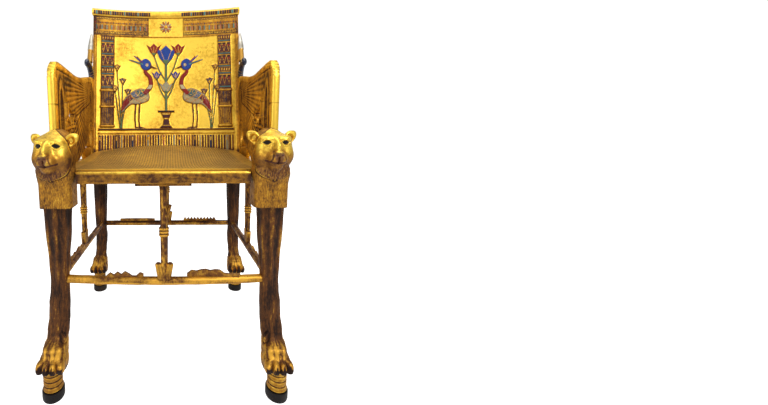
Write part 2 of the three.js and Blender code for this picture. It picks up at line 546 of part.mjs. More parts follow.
function bowedStalk(x, z0, t1, w, height) {
  const rear = (z) => panelRear(z) + bow(x);
  const z1 = sill + t1;
  const points = [];
  for (const [z, k] of [[z0, 1], [z1 - 34, 1], [z1 - 6, 2.2]])
    points.push([
      new THREE.Vector3(x - w * k, rear(z) - 2, z), new THREE.Vector3(x + w * k, rear(z) - 2, z),
      new THREE.Vector3(x + w * k, rear(z) + height, z), new THREE.Vector3(x - w * k, rear(z) + height, z),
    ]);
  return loft(points);
}
add("back_panel", join([panelBoard, ...relief, ...reedsBehind]), inlay);

// Rear stiles, the reed frieze over them, and the rounded top rail.
function stileShape(x0, x1) {
  const rearAt = (z) => stile.rear + (stile.lean * (z - seatTop)) / panel.run;
  const frontAt = (z) => Math.max(stile.front, panelRear(z) + joint + 0.2);
  const meet = seatTop + ((stile.front - panel.footY - panel.thick - joint - 0.2) * panel.run) / panel.lean;
  return loft([sill, meet, stile.top].map((z) => [
    new THREE.Vector3(x0, frontAt(z) + bow(x0), z), new THREE.Vector3(x1, frontAt(z) + bow(x1), z),
    new THREE.Vector3(x1, rearAt(z) + bow(x1), z), new THREE.Vector3(x0, rearAt(z) + bow(x0), z),
  ]));
}
addPair("stile", stileShape(panel.half - stile.width, panel.half), gold);
add("stile_centre", stileShape(-stile.centreHalf, stile.centreHalf), gold);
{
  const columns = steps(-frieze.half, frieze.half, frieze.reeds * 2);
  const zs = [frieze.bottom, frieze.bottom + frieze.band, frieze.bottom + frieze.band + 1, topRail.bottom - joint];
  const reed = [2.5, 2.5, 4, 2];
  const outset = (k, i) => (k < 2 ? reed[k] : reed[k] * (i % 2));
  const body = loft(columns.map((x, i) => [
    ...[zs[0], zs.at(-1)].map((z) => new THREE.Vector3(x, panelRear(z) + joint + 0.2 + bow(x), z)),
    ...[...zs.keys()].reverse().map((k) => new THREE.Vector3(x, frieze.rear + outset(k, i) + bow(x), zs[k])),
  ]));
  add("back_frieze", body, gold);
}
{
  const [y0, y1, z0, z1] = [topRail.y0, topRail.y1, topRail.bottom, overallHeight];
  const profile = [[y0 + 3, z0], [y0, z0 + 9], [y0 + 3, z0 + 19], [y0 + 12, z1 - 2], [(y0 + y1) / 2, z1], [y1 - 12, z1 - 2], [y1 - 3, z0 + 19], [y1, z0 + 9], [y1 - 3, z0]];
  add("top_rail", loft(steps(-topRail.half, topRail.half, 12).map((x) => profile.map(([y, z]) => new THREE.Vector3(x, y + bow(x), z)))), gold);
}

// Rearing cobras: four behind the back with a disc each, one at each side with a pale crown.
// Columns: height, half width, half depth, lean of the middle.
const cobraRows = [[0, 19, 9, 0], [30, 18, 8, 0], [62, 23, 8, -1], [100, 29, 8.5, -1], [128, 30, 8.5, 0], [148, 22, 8, 2], [158, 14, 8.5, 4], [174, 18, 11, 5], [188, 9, 7, 3]];
function cobraShape(scale) {
  return loft(cobraRows.map(([h, hw, hd, fwd]) => oval(0, fwd, sill + h * scale, hw * scale, hd * (0.4 + 0.6 * scale), 8, 2.3)));
}
for (const [k, x] of cobra.xs.entries()) {
  const place = k ? "outer" : "inner";
  addPair(`rear_cobra_${place}`, cobraShape(1).clone().translate(x, cobra.y + bow(x), 0), inlay);
  const disc = new THREE.LatheGeometry(
    [[0, -1], [0.8, -1], [1, 0], [0.8, 1], [0, 1]].map(([r, h]) => new THREE.Vector2(r * cobra.discR, (h * cobra.discThick) / 2)), 16);
  addPair(`rear_disc_${place}`, disc.translate(x, cobra.y + 4.5 + bow(x), sill + cobra.height + joint + cobra.discR), gold);
}
const sideCobra = cobraShape(cobra.sideScale).rotateZ(-Math.PI / 2).translate(panel.half - 15, 0, 0);
const sideLean = new THREE.Matrix4().set(1, 0, 0, 0, 0, 1, 0.1, 161 - 0.1 * sill, 0, 0, 1, 0, 0, 0, 0, 1);
const sideCrown = new THREE.LatheGeometry(
  [[0, 0], [6, 0], [7.5, 12], [8, 26], [6, 46], [3, 56], [4, 62], [0, 65]].map(([r, z]) => new THREE.Vector2(r, z)), 10)
  .rotateX(Math.PI / 2).translate(panel.half - 12, 0, sill + cobra.height * cobra.sideScale + joint);
addPair("side_cobra", sideCobra.applyMatrix4(sideLean), inlay);
addPair("side_crown", sideCrown.applyMatrix4(sideLean), silver);

// The origin is under the middle of the whole throne.
const bounds = new THREE.Box3().setFromObject(throne);
const middleY = (bounds.min.y + bounds.max.y) / 2;
throne.traverse((o) => o.isMesh && o.geometry.translate(0, -middleY, 0));

export default throne;
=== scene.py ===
import math

import bpy
import numpy as np
from mathutils import Matrix, Vector


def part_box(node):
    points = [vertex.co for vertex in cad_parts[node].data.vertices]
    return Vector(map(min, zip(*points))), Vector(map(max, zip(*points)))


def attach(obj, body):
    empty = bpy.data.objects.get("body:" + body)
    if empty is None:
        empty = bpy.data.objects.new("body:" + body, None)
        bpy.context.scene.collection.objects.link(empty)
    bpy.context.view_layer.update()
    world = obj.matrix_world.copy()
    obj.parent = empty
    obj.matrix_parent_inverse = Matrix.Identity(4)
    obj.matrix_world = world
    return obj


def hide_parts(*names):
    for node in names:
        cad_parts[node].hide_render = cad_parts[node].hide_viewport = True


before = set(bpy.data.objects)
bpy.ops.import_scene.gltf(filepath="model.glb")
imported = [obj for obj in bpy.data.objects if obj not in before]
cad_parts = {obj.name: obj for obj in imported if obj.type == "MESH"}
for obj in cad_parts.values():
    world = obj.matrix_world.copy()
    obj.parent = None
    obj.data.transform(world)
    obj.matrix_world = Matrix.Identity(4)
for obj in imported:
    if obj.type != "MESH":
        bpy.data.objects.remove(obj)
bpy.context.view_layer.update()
railFront = 262  # front end of the side rails in the drawing, mm
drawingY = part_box("side_rail_left")[0][1] * 1000 + railFront  # the drawing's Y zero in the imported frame, mm
print("frame:", len(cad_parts), "nodes")


def feed(tree, place, value):  # a link where the value is a wire, a constant where it isn't
    if isinstance(value, Wire):
        tree.links.new(value.socket, place)
    else:
        place.default_value = value


class Wire:  # a shader socket that can be added, multiplied and so on
    def __init__(self, tree, socket):
        self.tree = tree
        self.socket = socket

    def maths(self, operation, first, second, clamp=False):
        node = self.tree.nodes.new("ShaderNodeMath")
        node.operation = operation
        node.use_clamp = clamp
        for place, value in zip(node.inputs, (first, second)):
            feed(self.tree, place, value)
        return Wire(self.tree, node.outputs[0])

    def __add__(self, other):
        return self.maths("ADD", self, other)

    def __radd__(self, other):
        return self.maths("ADD", other, self)

    def __sub__(self, other):
        return self.maths("SUBTRACT", self, other)

    def __rsub__(self, other):
        return self.maths("SUBTRACT", other, self)

    def __mul__(self, other):
        return self.maths("MULTIPLY", self, other)

    def __rmul__(self, other):
        return self.maths("MULTIPLY", other, self)

    def __truediv__(self, other):
        return self.maths("DIVIDE", self, other)

    def __pow__(self, other):
        return self.maths("POWER", self, other)

    def between(self, low, high):  # 0 at low, 1 at high, held outside
        return self.maths("MULTIPLY", self - low, 1 / (high - low), True)


class Surface:  # the shader of one material, or of the world
    def __init__(self, owner, shader="Principled BSDF"):
        self.owner = owner
        owner.use_nodes = True
        self.tree = owner.node_tree
        self.shader = self.tree.nodes[shader]

    def node(self, kind, settings, inputs, output=0):
        made = self.tree.nodes.new(kind)
        for key, value in settings.items():
            setattr(made, key, value)
        for key, value in inputs.items():
            feed(self.tree, made.inputs[key], value)
        return Wire(self.tree, made.outputs[output])

    def place(self, stretch=(1, 1, 1)):  # object coordinates in metres, stretched
        spot = self.node("ShaderNodeTexCoord", {}, {}, "Object")
        return self.node("ShaderNodeVectorMath", {"operation": "MULTIPLY"}, {0: spot, 1: stretch})

    def noise(self, scale, detail=3, rough=0.55, stretch=(1, 1, 1)):
        inputs = {"Vector": self.place(stretch), "Scale": scale, "Detail": detail, "Roughness": rough}
        return self.node("ShaderNodeTexNoise", {}, inputs, "Fac")

    def value(self, name):  # a number kept on the mesh points
        return self.node("ShaderNodeAttribute", {"attribute_name": name}, {}, "Fac")

    def colour(self, name):
        return self.node("ShaderNodeAttribute", {"attribute_name": name}, {}, "Color")

    def mix(self, share, first, second):
        inputs = {0: share, 6: first, 7: second}
        return self.node("ShaderNodeMix", {"data_type": "RGBA"}, inputs, 2)

    def bump(self, height, strength, distance):
        inputs = {"Height": height, "Strength": strength, "Distance": distance}
        return self.node("ShaderNodeBump", {}, inputs)

    def finish(self, **values):
        for key, value in values.items():
            feed(self.tree, self.shader.inputs[key.replace("_", " ")], value)
        return self.owner


def tone(red, green, blue):  # screen colour, 0 to 255, as linear light
    screen = np.array([red, green, blue]) / 255
    light = np.where(screen <= 0.04045, screen / 12.92, ((screen + 0.055) / 1.055) ** 2.4)
    return (*light.tolist(), 1.0)


finishes = {
    "gilding": {"dark": tone(70, 40, 20), "mid": tone(178, 124, 42), "bright": tone(255, 214, 84),
                "metal": 0.9, "rough": 0.4, "blotch": 12, "stretch": (1, 1, 1), "bump": 0.35, "base": 0.5},
    "worn": {"dark": tone(40, 22, 13), "mid": tone(104, 64, 32), "bright": tone(220, 164, 60),
             "metal": 0.7, "rough": 0.46, "blotch": 14, "stretch": (2.2, 2.2, 0.8),
             "bump": 0.45, "base": 0.55},
    "inlaid": {"dark": tone(72, 40, 22), "mid": tone(196, 138, 42), "bright": tone(255, 210, 78),
               "metal": 0.85, "rough": 0.38, "blotch": 10, "stretch": (1, 1, 1), "bump": 0.3, "base": 0.55},
    "crust": {"dark": tone(40, 24, 14), "mid": tone(120, 76, 34), "bright": tone(226, 172, 64),
              "metal": 0.7, "rough": 0.46, "blotch": 22, "stretch": (1, 1, 1), "bump": 0.5, "base": 0.02},
}


# Aged gold leaf: dark, middle and bright gold mixed by blotchy noise plus the value kept in pit, which follows
# the carving and holds wear, patina and painted light and shade;
# edges are rubbed bright and hollows darkened with dirt and painted shade; where inlay is 1 the colour in paint
# covers the gold.
def goldLeaf(name, look):
    s = Surface(bpy.data.materials.new(name))
    blotch = s.noise(look["blotch"], 6, 0.62, look["stretch"])
    grain = s.noise(110, 4, 0.65, look["stretch"])
    speck = s.noise(420, 2, 0.5)
    pit = s.value("pit")
    # pointiness: brighter on sharp edges as wear, darker in hollows as dirt and painted shade
    bent = s.node("ShaderNodeNewGeometry", {}, {}, "Pointiness").between(0.42, 0.58)
    wearAndShade = look["base"] + 1.5 * (blotch - 0.5) + 1.1 * (grain - 0.5) + 0.4 * (speck - 0.5)
    wearAndShade = wearAndShade + 0.6 * pit + 1.2 * (bent - 0.5)
    low = s.mix(wearAndShade.between(0.0, 0.52), look["dark"], look["mid"])
    leaf = s.mix(wearAndShade.between(0.55, 1.15), low, look["bright"])
    inlay = s.value("inlay")
    paint = s.colour("paint")
    grime = s.mix(0.55, paint, (0.01, 0.006, 0.003, 1))
    cover = s.mix((grain + speck).between(0.55, 1.5), grime, paint)
    shine = wearAndShade.between(0.0, 0.7)
    return s.finish(
        Base_Color=s.mix(inlay, leaf, cover),
        Metallic=(1 - inlay) * (0.3 + 0.7 * shine) * look["metal"],
        Roughness=look["rough"] + 0.2 * (1 - shine) + 0.25 * (grain - 0.5) - 0.08 * inlay,
        Specular_IOR_Level=0.22,
        Normal=s.bump(grain + 0.5 * speck, look["bump"], 0.0012))


materials = {name: goldLeaf(name, look) for name, look in finishes.items()}


def blackBronze():
    s = Surface(bpy.data.materials.new("bronze"))
    grain = s.noise(70, 4, 0.6)
    rub = s.noise(18, 3, 0.5).between(0.5, 0.8)
    return s.finish(Base_Color=s.mix(rub, tone(22, 18, 18), tone(58, 44, 34)), Metallic=0.5,
                    Roughness=0.38 + 0.25 * grain, Normal=s.bump(grain, 0.3, 0.001))


def paleSilver():
    s = Surface(bpy.data.materials.new("silver"))
    cloud = s.noise(30, 5, 0.6)
    pit = s.value("pit")
    inlay = s.value("inlay")
    tarnish = s.mix((cloud + 0.4 * pit).between(0.3, 0.75), tone(120, 108, 88), tone(226, 220, 204))
    return s.finish(Base_Color=s.mix(inlay, tarnish, s.colour("paint")), Metallic=0.7,
                    Roughness=0.36 + 0.2 * (cloud - 0.5), Normal=s.bump(s.noise(200), 0.15, 0.0008))


def blueGlaze():
    s = Surface(bpy.data.materials.new("glaze"))
    cloud = s.noise(40, 4, 0.6)
    inlay = s.value("inlay")
    glaze = s.mix(cloud.between(0.3, 0.7), tone(15, 17, 30), tone(26, 44, 80))
    return s.finish(Base_Color=s.mix(inlay, glaze, s.colour("paint")), Roughness=0.26 + 0.2 * (cloud - 0.5),
                    Coat_Weight=0.4, Normal=s.bump(s.noise(150), 0.12, 0.0008))


materials["bronze"] = blackBronze()
materials["silver"] = paleSilver()
materials["glaze"] = blueGlaze()
print("materials:", len(materials))

# The photograph's view: a close camera with a wide lens, the throne left of the middle of the frame.
shot = {"x": 17.5, "y": -899.6, "z": 596.7, "yaw": 0.2, "pitch": -6.33, "roll": 0.32,
        "focal": 293.5, "centreX": 170.4, "centreY": 165.0, "width": 768, "height": 405, "sensor": 36}


def addCamera(view):
    data = bpy.data.cameras.new("camera")
    data.sensor_width = view["sensor"]
    data.lens = view["sensor"] * view["focal"] / view["width"]
    data.shift_x = (view["width"] / 2 - view["centreX"]) / view["width"]
    data.shift_y = (view["centreY"] - view["height"] / 2) / view["width"]
    data.clip_start = 0.01
    spin = Matrix.Rotation(math.radians(view["yaw"]), 3, "Z")
    tip = Matrix.Rotation(math.radians(view["pitch"]), 3, "X")
    lean = Matrix.Rotation(math.radians(view["roll"]), 3, "Y")
    upright = Matrix.Rotation(math.radians(90), 3, "X")  # a camera looks down until it is stood up
    made = bpy.data.objects.new("camera", data)
    turn = (spin @ tip @ lean @ upright).to_4x4()
    made.matrix_world = Matrix.Translation(
        (view["x"] / 1000, (view["y"] + drawingY) / 1000, view["z"] / 1000)) @ turn
    bpy.context.collection.objects.link(made)
    bpy.context.scene.camera = made


addCamera(shot)

studio = {"sky": 0.5, "white": 1.05, "glow": 0.86}
lights = {  # where each stands, what it points at, its size and its watts
    "key": ((0.95, -1.9, 1.9), (0, 0, 0.55), (0.8, 1.0), 30),
    "fill": ((-1.5, -1.5, 1.0), (0, 0, 0.5), (1.0, 1.4), 11),
    "top": ((0, 0.1, 2.3), (0, 0, 0.5), (1.6, 1.6), 15),
    "back": ((0.6, 2.0, 1.4), (0, 0, 0.6), (1.4, 1.4), 10)}


def addLight(name, place, target, size, watts):
    data = bpy.data.lights.new(name, "AREA")
    data.shape = "RECTANGLE"
    data.size, data.size_y = size
    data.energy = watts
    made = bpy.data.objects.new(name, data)
    made.location = place
    made.rotation_euler = (Vector(target) - Vector(place)).to_track_quat("-Z", "Y").to_euler()
    bpy.context.collection.objects.link(made)


def addStudio(look):
    s = Surface(bpy.data.worlds.new("studio"), "Background")
    seen = s.node("ShaderNodeLightPath", {}, {}, "Is Camera Ray")  # white to the camera, dimmer as a light
    s.finish(Color=(1, 1, 1, 1), Strength=look["sky"] + (look["white"] - look["sky"]) * seen)
    bpy.context.scene.world = s.owner
    for name, values in lights.items():
        addLight(name, *values)
    bpy.context.scene.view_settings.view_transform = "Standard"
    s = Surface(bpy.data.materials.new("floor"))
    seen = s.node("ShaderNodeLightPath", {}, {}, "Is Camera Ray")
    s.finish(Base_Color=(0.9, 0.9, 0.9, 1), Roughness=0.9, Emission_Color=(1, 1, 1, 1),
             Emission_Strength=look["glow"] * seen)
    mesh = bpy.data.meshes.new("floor")
    mesh.from_pydata([(-9, -9, 0), (9, -9, 0), (9, 9, 0), (-9, 9, 0)], [], [(0, 1, 2, 3)])
    mesh.materials.append(s.owner)
    floor = bpy.data.objects.new("floor", mesh)
    bpy.context.collection.objects.link(floor)


addStudio(studio)
print("studio set")


def smooth(t):  # eased step from 0 to 1
    t = np.clip(t, 0, 1)
    return t * t * (3 - 2 * t)


def mixed(share, first, second):
    return first + (second - first) * share


def readRows(rows, z):  # columns of a table read as eased curves at any height
    table = np.array(rows, float)
    i = np.clip(np.searchsorted(table[:, 0], z) - 1, 0, len(table) - 2)
    t = smooth((z - table[i, 0]) / (table[i + 1, 0] - table[i, 0]))
    return [mixed(t, table[i, k], table[i + 1, k]) for k in range(1, table.shape[1])]


# Value noise: a seeded lattice of random numbers blended by the eased step, 0 to 1.
def noiseAt(u, v, seed):
    lattice = np.random.default_rng(seed).random((97, 89))
    i, j = np.floor(u).astype(int), np.floor(v).astype(int)
    s, t = smooth(u - i), smooth(v - j)
    near = mixed(t, lattice[i % 97, j % 89], lattice[i % 97, (j + 1) % 89])
    far = mixed(t, lattice[(i + 1) % 97, j % 89], lattice[(i + 1) % 97, (j + 1) % 89])
    return mixed(s, near, far)


def roundTurns(count):  # equal steps once round
    return np.arange(count) * 2 * np.pi / count


def gridFaces(rows, cols, wrap=False):  # quads of a net of points
    index = np.arange(rows * cols).reshape(rows, cols)
    if wrap:
        index = np.hstack([index, index[:, :1]])
    return np.stack([index[:-1, :-1], index[:-1, 1:], index[1:, 1:], index[1:, :-1]], -1).reshape(-1, 4)


class Shell:  # one closed skin: points in drawing mm, faces, carved depth with painted light and shade, and inlay
    def __init__(self, points, faces, pit=0.0, paint=(0, 0, 0), inlay=0.0):
        self.points = np.asarray(points, float).reshape(-1, 3)
        self.pit = self.spread(pit)
        self.paint = self.spread(paint, 3)
        self.inlay = self.spread(inlay)
        self.faces = faces
        volume = 0.0  # below nought when the faces look inward
        for group in faces:
            corner = self.points[group]
            for k in range(1, group.shape[1] - 1):
                volume += np.einsum("ij,ij->", corner[:, 0], np.cross(corner[:, k], corner[:, k + 1]))
        if volume < 0:
            self.faces = [group[:, ::-1] for group in faces]

    def spread(self, value, *width):  # one value for all points, or one for each
        return np.broadcast_to(np.asarray(value, float).reshape(-1, *width), (len(self.points), *width))

    def moved(self, change):  # the same skin with its points changed by a function
        return Shell(change(self.points), self.faces, self.pit, self.paint, self.inlay)

    def mirrored(self):
        return self.moved(lambda p: p * (-1, 1, 1))


def tube(rings, pit=0.0, paint=(0, 0, 0), inlay=0.0):  # rings of equal length joined in turn, ends closed
    rows, cols = rings.shape[:2]
    ends = [np.arange(cols)[None], (rows - 1) * cols + np.arange(cols)[None, ::-1]]
    return Shell(rings, [gridFaces(rows, cols, True), *ends], pit, paint, inlay)


def addPiece(node, shells, finish, crease=50, tag=""):  # the look of one node, from its skins
    name = f"{node}{tag}_look"
    offsets = np.cumsum([0] + [len(s.points) for s in shells])
    points = np.concatenate([s.points for s in shells])
    groups = [group + start for s, start in zip(shells, offsets) for group in s.faces]
    mesh = bpy.data.meshes.new(name)
    mesh.vertices.add(len(points))
    mesh.vertices.foreach_set("co", ((points + (0, drawingY, 0)) / 1000).astype(np.float32).ravel())
    corners = np.concatenate([group.ravel() for group in groups])
    sizes = np.concatenate([np.full(len(group), group.shape[1]) for group in groups])
    mesh.loops.add(len(corners))
    mesh.loops.foreach_set("vertex_index", corners.astype(np.int32))
    mesh.polygons.add(len(sizes))
    mesh.polygons.foreach_set("loop_start", (np.cumsum(sizes) - sizes).astype(np.int32))
    mesh.polygons.foreach_set("use_smooth", np.ones(len(sizes), bool))
    mesh.update(calc_edges=True)
    mesh.set_sharp_from_angle(angle=math.radians(crease))
    for key in ("pit", "inlay"):
        layer = mesh.attributes.new(key, "FLOAT", "POINT")
        layer.data.foreach_set("value", np.concatenate([getattr(s, key) for s in shells]).astype(np.float32))
    colour = np.ones((len(points), 4), np.float32)
    colour[:, :3] = np.concatenate([s.paint for s in shells])
    layer = mesh.attributes.new("paint", "FLOAT_COLOR", "POINT")
    layer.data.foreach_set("color", colour.ravel())
    mesh.materials.append(materials[finish])
    made = bpy.data.objects.new(name, mesh)
    bpy.context.collection.objects.link(made)
    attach(made, "root")
    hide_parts(node)


def addPair(node, shells, finish, crease=50):  # a left piece and its mirror image
    addPiece(f"{node}_left", shells, finish, crease=crease)
    addPiece(f"{node}_right", [s.mirrored() for s in shells], finish, crease=crease)


# Drawing on a flat sheet: every shape is a signed distance, negative inside.
def discGap(u, v, cu, cv, ru, rv=None):
    rv = rv or ru
    return (np.hypot((u - cu) / ru, (v - cv) / rv) - 1) * min(ru, rv)


def boxGap(u, v, u0, u1, v0, v1):
    p = np.abs(u - (u0 + u1) / 2) - (u1 - u0) / 2
    q = np.abs(v - (v0 + v1) / 2) - (v1 - v0) / 2
    return np.hypot(np.maximum(p, 0), np.maximum(q, 0)) + np.minimum(np.maximum(p, q), 0)


def lineGap(u, v, points, start, end=None):  # a line whose half width runs from start to end
    end = start if end is None else end
    best = np.full(np.shape(u), 1e9)
    steps = len(points) - 1
    for k, ((pu, pv), (qu, qv)) in enumerate(zip(points[:-1], points[1:])):
        du, dv = qu - pu, qv - pv
        t = np.clip(((u - pu) * du + (v - pv) * dv) / (du * du + dv * dv), 0, 1)
        half = mixed((k + t) / steps, start, end)
        best = np.minimum(best, np.hypot(u - pu - t * du, v - pv - t * dv) - half)
    return best


def shapeGap(u, v, points):  # a closed outline
    best = np.full(np.shape(u), 1e18)
    inside = np.zeros(np.shape(u), bool)
    for (pu, pv), (qu, qv) in zip(points, [*points[1:], points[0]]):
        du, dv = qu - pu, qv - pv
        t = np.clip(((u - pu) * du + (v - pv) * dv) / (du * du + dv * dv), 0, 1)
        best = np.minimum(best, (u - pu - t * du) ** 2 + (v - pv - t * dv) ** 2)
        crosses = ((pv > v) != (qv > v)) & (u < du * (v - pv) / (dv if dv else 1e-9) + pu)
        inside ^= crosses
    return np.where(inside, -1, 1) * np.sqrt(best)


def curved(points, count=60, closed=False):  # a smooth line through the points
    p = np.array(points, float)
    p = np.vstack([p[-1:], p, p[:2]]) if closed else np.vstack([2 * p[0] - p[1], p, 2 * p[-1] - p[-2]])
    t = np.linspace(0, len(p) - 3, count, endpoint=not closed)
    i = np.minimum(t.astype(int), len(p) - 4)
    s = (t - i)[:, None]
    a, b, c, d = p[i], p[i + 1], p[i + 2], p[i + 3]
    line = 0.5 * (2 * b + (c - a) * s + (2 * a - 5 * b + 4 * c - d) * s ** 2
                  + (3 * b - a - 3 * c + d) * s ** 3)
    return [tuple(q) for q in line]


class Sheet:  # a drawing in height, depth of patina and painted shade, and inlay over a flat net of points
    def __init__(self, u, v):
        self.u, self.v = u, v
        self.lift = np.zeros(u.shape)
        self.pit = np.zeros(u.shape)
        self.inlay = np.zeros(u.shape)
        self.paint = np.zeros((*u.shape, 3))

    def box(self, u0, u1, v0, v1):
        return boxGap(self.u, self.v, u0, u1, v0, v1)

    def disc(self, cu, cv, ru, rv=None):
        return discGap(self.u, self.v, cu, cv, ru, rv)

    def line(self, points, start, end=None):
        return lineGap(self.u, self.v, points, start, end)

    def shape(self, points):
        return shapeGap(self.u, self.v, points)

    def raised(self, gap, height, soft=2.0, pit=0.0):  # stands out by height, eased over soft mm
        share = smooth(-gap / soft)
        self.lift = np.maximum(self.lift, height * share)
        self.pit = np.where(gap < 0, mixed(share, self.pit, pit), self.pit)
        self.pit -= 0.7 * np.exp(-(gap / 1.6) ** 2)  # dirt and painted shade along the outline

    def cut(self, gap, depth, soft=1.2, dirtAndShade=0.8):  # a groove along the shape, darkened with dirt and painted shade
        share = smooth(-gap / soft)
        self.lift = self.lift - depth * share
        self.pit -= dirtAndShade * share

    def inlaid(self, gap, colour, rim=0.9, height=None):  # coloured inside a gold rim
        if height is not None:
            self.raised(gap, height)
        here = gap < -rim
        self.inlay = np.where(here, 1.0, self.inlay)
        self.paint[here] = colour[:3]

    def bare(self, gap, pit=0.3):  # gold again over what is there
        self.inlay = np.where(gap < 0, 0.0, self.inlay)
        self.pit = np.where(gap < 0, pit, self.pit)

    def strokes(self, u0, u1, v0, v1, size, seed, depth=0.7):  # rows of short strokes that say nothing
        pick = np.random.default_rng(seed)
        for row in np.arange(v1 - size, v0 + size * 0.4, -size * 1.35):
            at = u0 + size * 0.4
            while at < u1 - size * 0.3:
                kind = pick.integers(0, 5)
                wide, tall = size * pick.uniform(0.2, 0.5), size * pick.uniform(0.25, 0.48)
                bars = [[(at - wide, row), (at + wide, row)], [(at, row - tall), (at, row + tall)],
                        [(at - wide, row - tall), (at, row + tall), (at + wide, row - tall)],
                        [(at - wide, row), (at, row + tall * 0.6), (at + wide, row)]]
                ring = np.abs(self.disc(at, row, wide)) - 0.8
                gap = self.line(bars[kind - 1], 0.8 if kind == 3 else 0.9) if kind else ring
                self.cut(gap, depth, 1.0, 0.7)
                at += size * pick.uniform(0.8, 1.25)


# A board between two nets of points: front and rear skins joined round the edge.
def board(front, rear, sheet, rearPit=0.0):
    rows, cols = front.shape[:2]
    index = np.arange(rows * cols).reshape(rows, cols)
    edge = np.concatenate([index[0, :-1], index[:-1, -1], index[-1, :0:-1], index[:0:-1, 0]])
    behind = rows * cols + np.arange(len(edge))  # the rear skin keeps only its edge points
    wall = np.stack([edge, np.roll(edge, -1), np.roll(behind, -1), behind], 1)
    far, near = behind[cols - 1:cols + rows - 1], np.append(behind[0], behind[:-rows:-1])
    strips = np.stack([near[1:-2], far[1:-2], far[2:-1], near[2:-1]], 1)
    first = np.append(behind[:cols], (far[1], near[1]))[None, ::-1]
    last = np.append(behind[cols + rows - 2:2 * cols + rows - 2], (near[-2], far[-2]))[None, ::-1]
    faces = [gridFaces(rows, cols)[:, ::-1], wall, strips[:, ::-1], first, last]
    points = np.concatenate([front.reshape(-1, 3), rear.reshape(-1, 3)[edge]])
    pit = np.concatenate([sheet.pit.ravel(), np.full(len(edge), rearPit)])
    paint = np.concatenate([sheet.paint.reshape(-1, 3), np.zeros((len(edge), 3))])
    return Shell(points, faces, pit, paint, np.concatenate([sheet.inlay.ravel(), np.zeros(len(edge))]))


# The outermost radius, round an upright axis, at which a field of distances changes sign.
def castRings(field, heights, turns, axis, reach, coarse=44):
    z, turn = np.meshgrid(heights, turns, indexing="ij")
    ax, ay = axis(z)
    c, s = np.cos(turn), np.sin(turn)
    hit = np.zeros(z.shape)
    step = reach / coarse
    for k in range(coarse):
        r = reach - k * step
        found = (hit == 0) & (field(ax + r * c, ay + r * s, z) < 0)
        hit[found] = r
    low, high = np.maximum(hit, 0.4), np.maximum(hit, 0.4) + step
    for k in range(9):
        r = (low + high) / 2
        inside = field(ax + r * c, ay + r * s, z) < 0
        low, high = np.where(inside, r, low), np.where(inside, high, r)
    return (low + high) / 2, turn, z


def blended(a, b, soft):  # two fields joined with a rounded valley
    h = np.maximum(soft - np.abs(a - b), 0) / soft
    return np.minimum(a, b) - h * h * soft * 0.25


def ballField(x, y, z, centre, radii):  # about the distance to an egg's surface
    p, q, r = (x - centre[0]) / radii[0], (y - centre[1]) / radii[1], (z - centre[2]) / radii[2]
    k0 = np.sqrt(p * p + q * q + r * r)
    k1 = np.sqrt((p / radii[0]) ** 2 + (q / radii[1]) ** 2 + (r / radii[2]) ** 2)
    return k0 * (k0 - 1) / np.maximum(k1, 1e-9)


def barField(x, y, z, centre, half, corner):  # distance to a box with rounded edges
    gaps = [np.abs(p - c) - h + corner for p, c, h in zip((x, y, z), centre, half)]
    out = np.sqrt(sum(np.maximum(g, 0) ** 2 for g in gaps))
    return out + np.minimum(np.maximum(np.maximum(*gaps[:2]), gaps[2]), 0) - corner


def ovalRing(cx, cy, z, hx, hy, count, power=2.0, ripple=0.0, lobes=1):  # level oval, squarer as power grows
    t = roundTurns(count)
    c, s = np.cos(t), np.sin(t)
    r = (np.abs(c) ** power + np.abs(s) ** power) ** (-1 / power) * (1 + ripple * np.cos(lobes * t))
    return np.stack([cx + hx * c * r, cy + hy * s * r, np.full(count, float(z))], 1)


def lathe(rows, count, at, pit=0.0):  # rows of radius and height turned about an upright axis
    rings = np.array([ovalRing(*at, z, r, r, count) for r, z in rows])
    return tube(rings, np.repeat(pit, count) if np.ndim(pit) else pit)


def beamRings(profile, place, stations):  # a flat outline set up by a function at each station
    return np.array([place(np.array(profile, float), t) for t in stations])


def denser(outline, gap):  # the same outline with its points no further apart than gap
    parts = []
    for p, q in zip(outline, np.roll(outline, -1, 0)):
        count = max(1, math.ceil(np.linalg.norm(q - p) / gap))
        parts.append(p + (q - p) * np.arange(count)[:, None] / count)
    return np.concatenate(parts)


def roundedOutline(outline, radius, steps=3):  # an outline with its corners rounded
    p = np.array(outline, float)
    done = []
    for k in range(len(p)):
        before, here, after = p[k - 1], p[k], p[(k + 1) % len(p)]
        r = min(radius, np.linalg.norm(before - here) / 2.2, np.linalg.norm(after - here) / 2.2)
        a = here + (before - here) / np.linalg.norm(before - here) * r
        b = here + (after - here) / np.linalg.norm(after - here) * r
        for t in np.linspace(0, 1, steps + 1):
            done.append((1 - t) ** 2 * a + 2 * t * (1 - t) * here + t * t * b)
    return np.array(done)


joint = 0.3  # clear gap between pieces, mm
seatTop = 516.0
sill = seatTop + joint  # where the arms and the back stand
back = {"sag": 38, "span": 270, "footY": 100, "lean": 92, "run": 514, "thick": 22, "half": 256, "top": 1011.7}


def bow(x):  # how far the back stands behind its ends
    return back["sag"] * (1 - (x / back["span"]) ** 2)


def panelFront(z):  # the leaning front face of the back, before its bow
    return back["footY"] + back["lean"] * (z - seatTop) / back["run"]


print("tools ready")

rails = {"half": 270, "side": 34, "tall": 52, "rearY": 212, "step": 4, "stepTall": 6, "corner": 3.5,
         "frontEnd": 182, "frontDepth": 34, "frontTall": 26, "strip": (-288, -270, 6)}


def acrossSeat(p, x):  # an outline of Y and Z standing at x
    return np.stack([np.full(len(p), x), p[:, 0], p[:, 1]], 1)


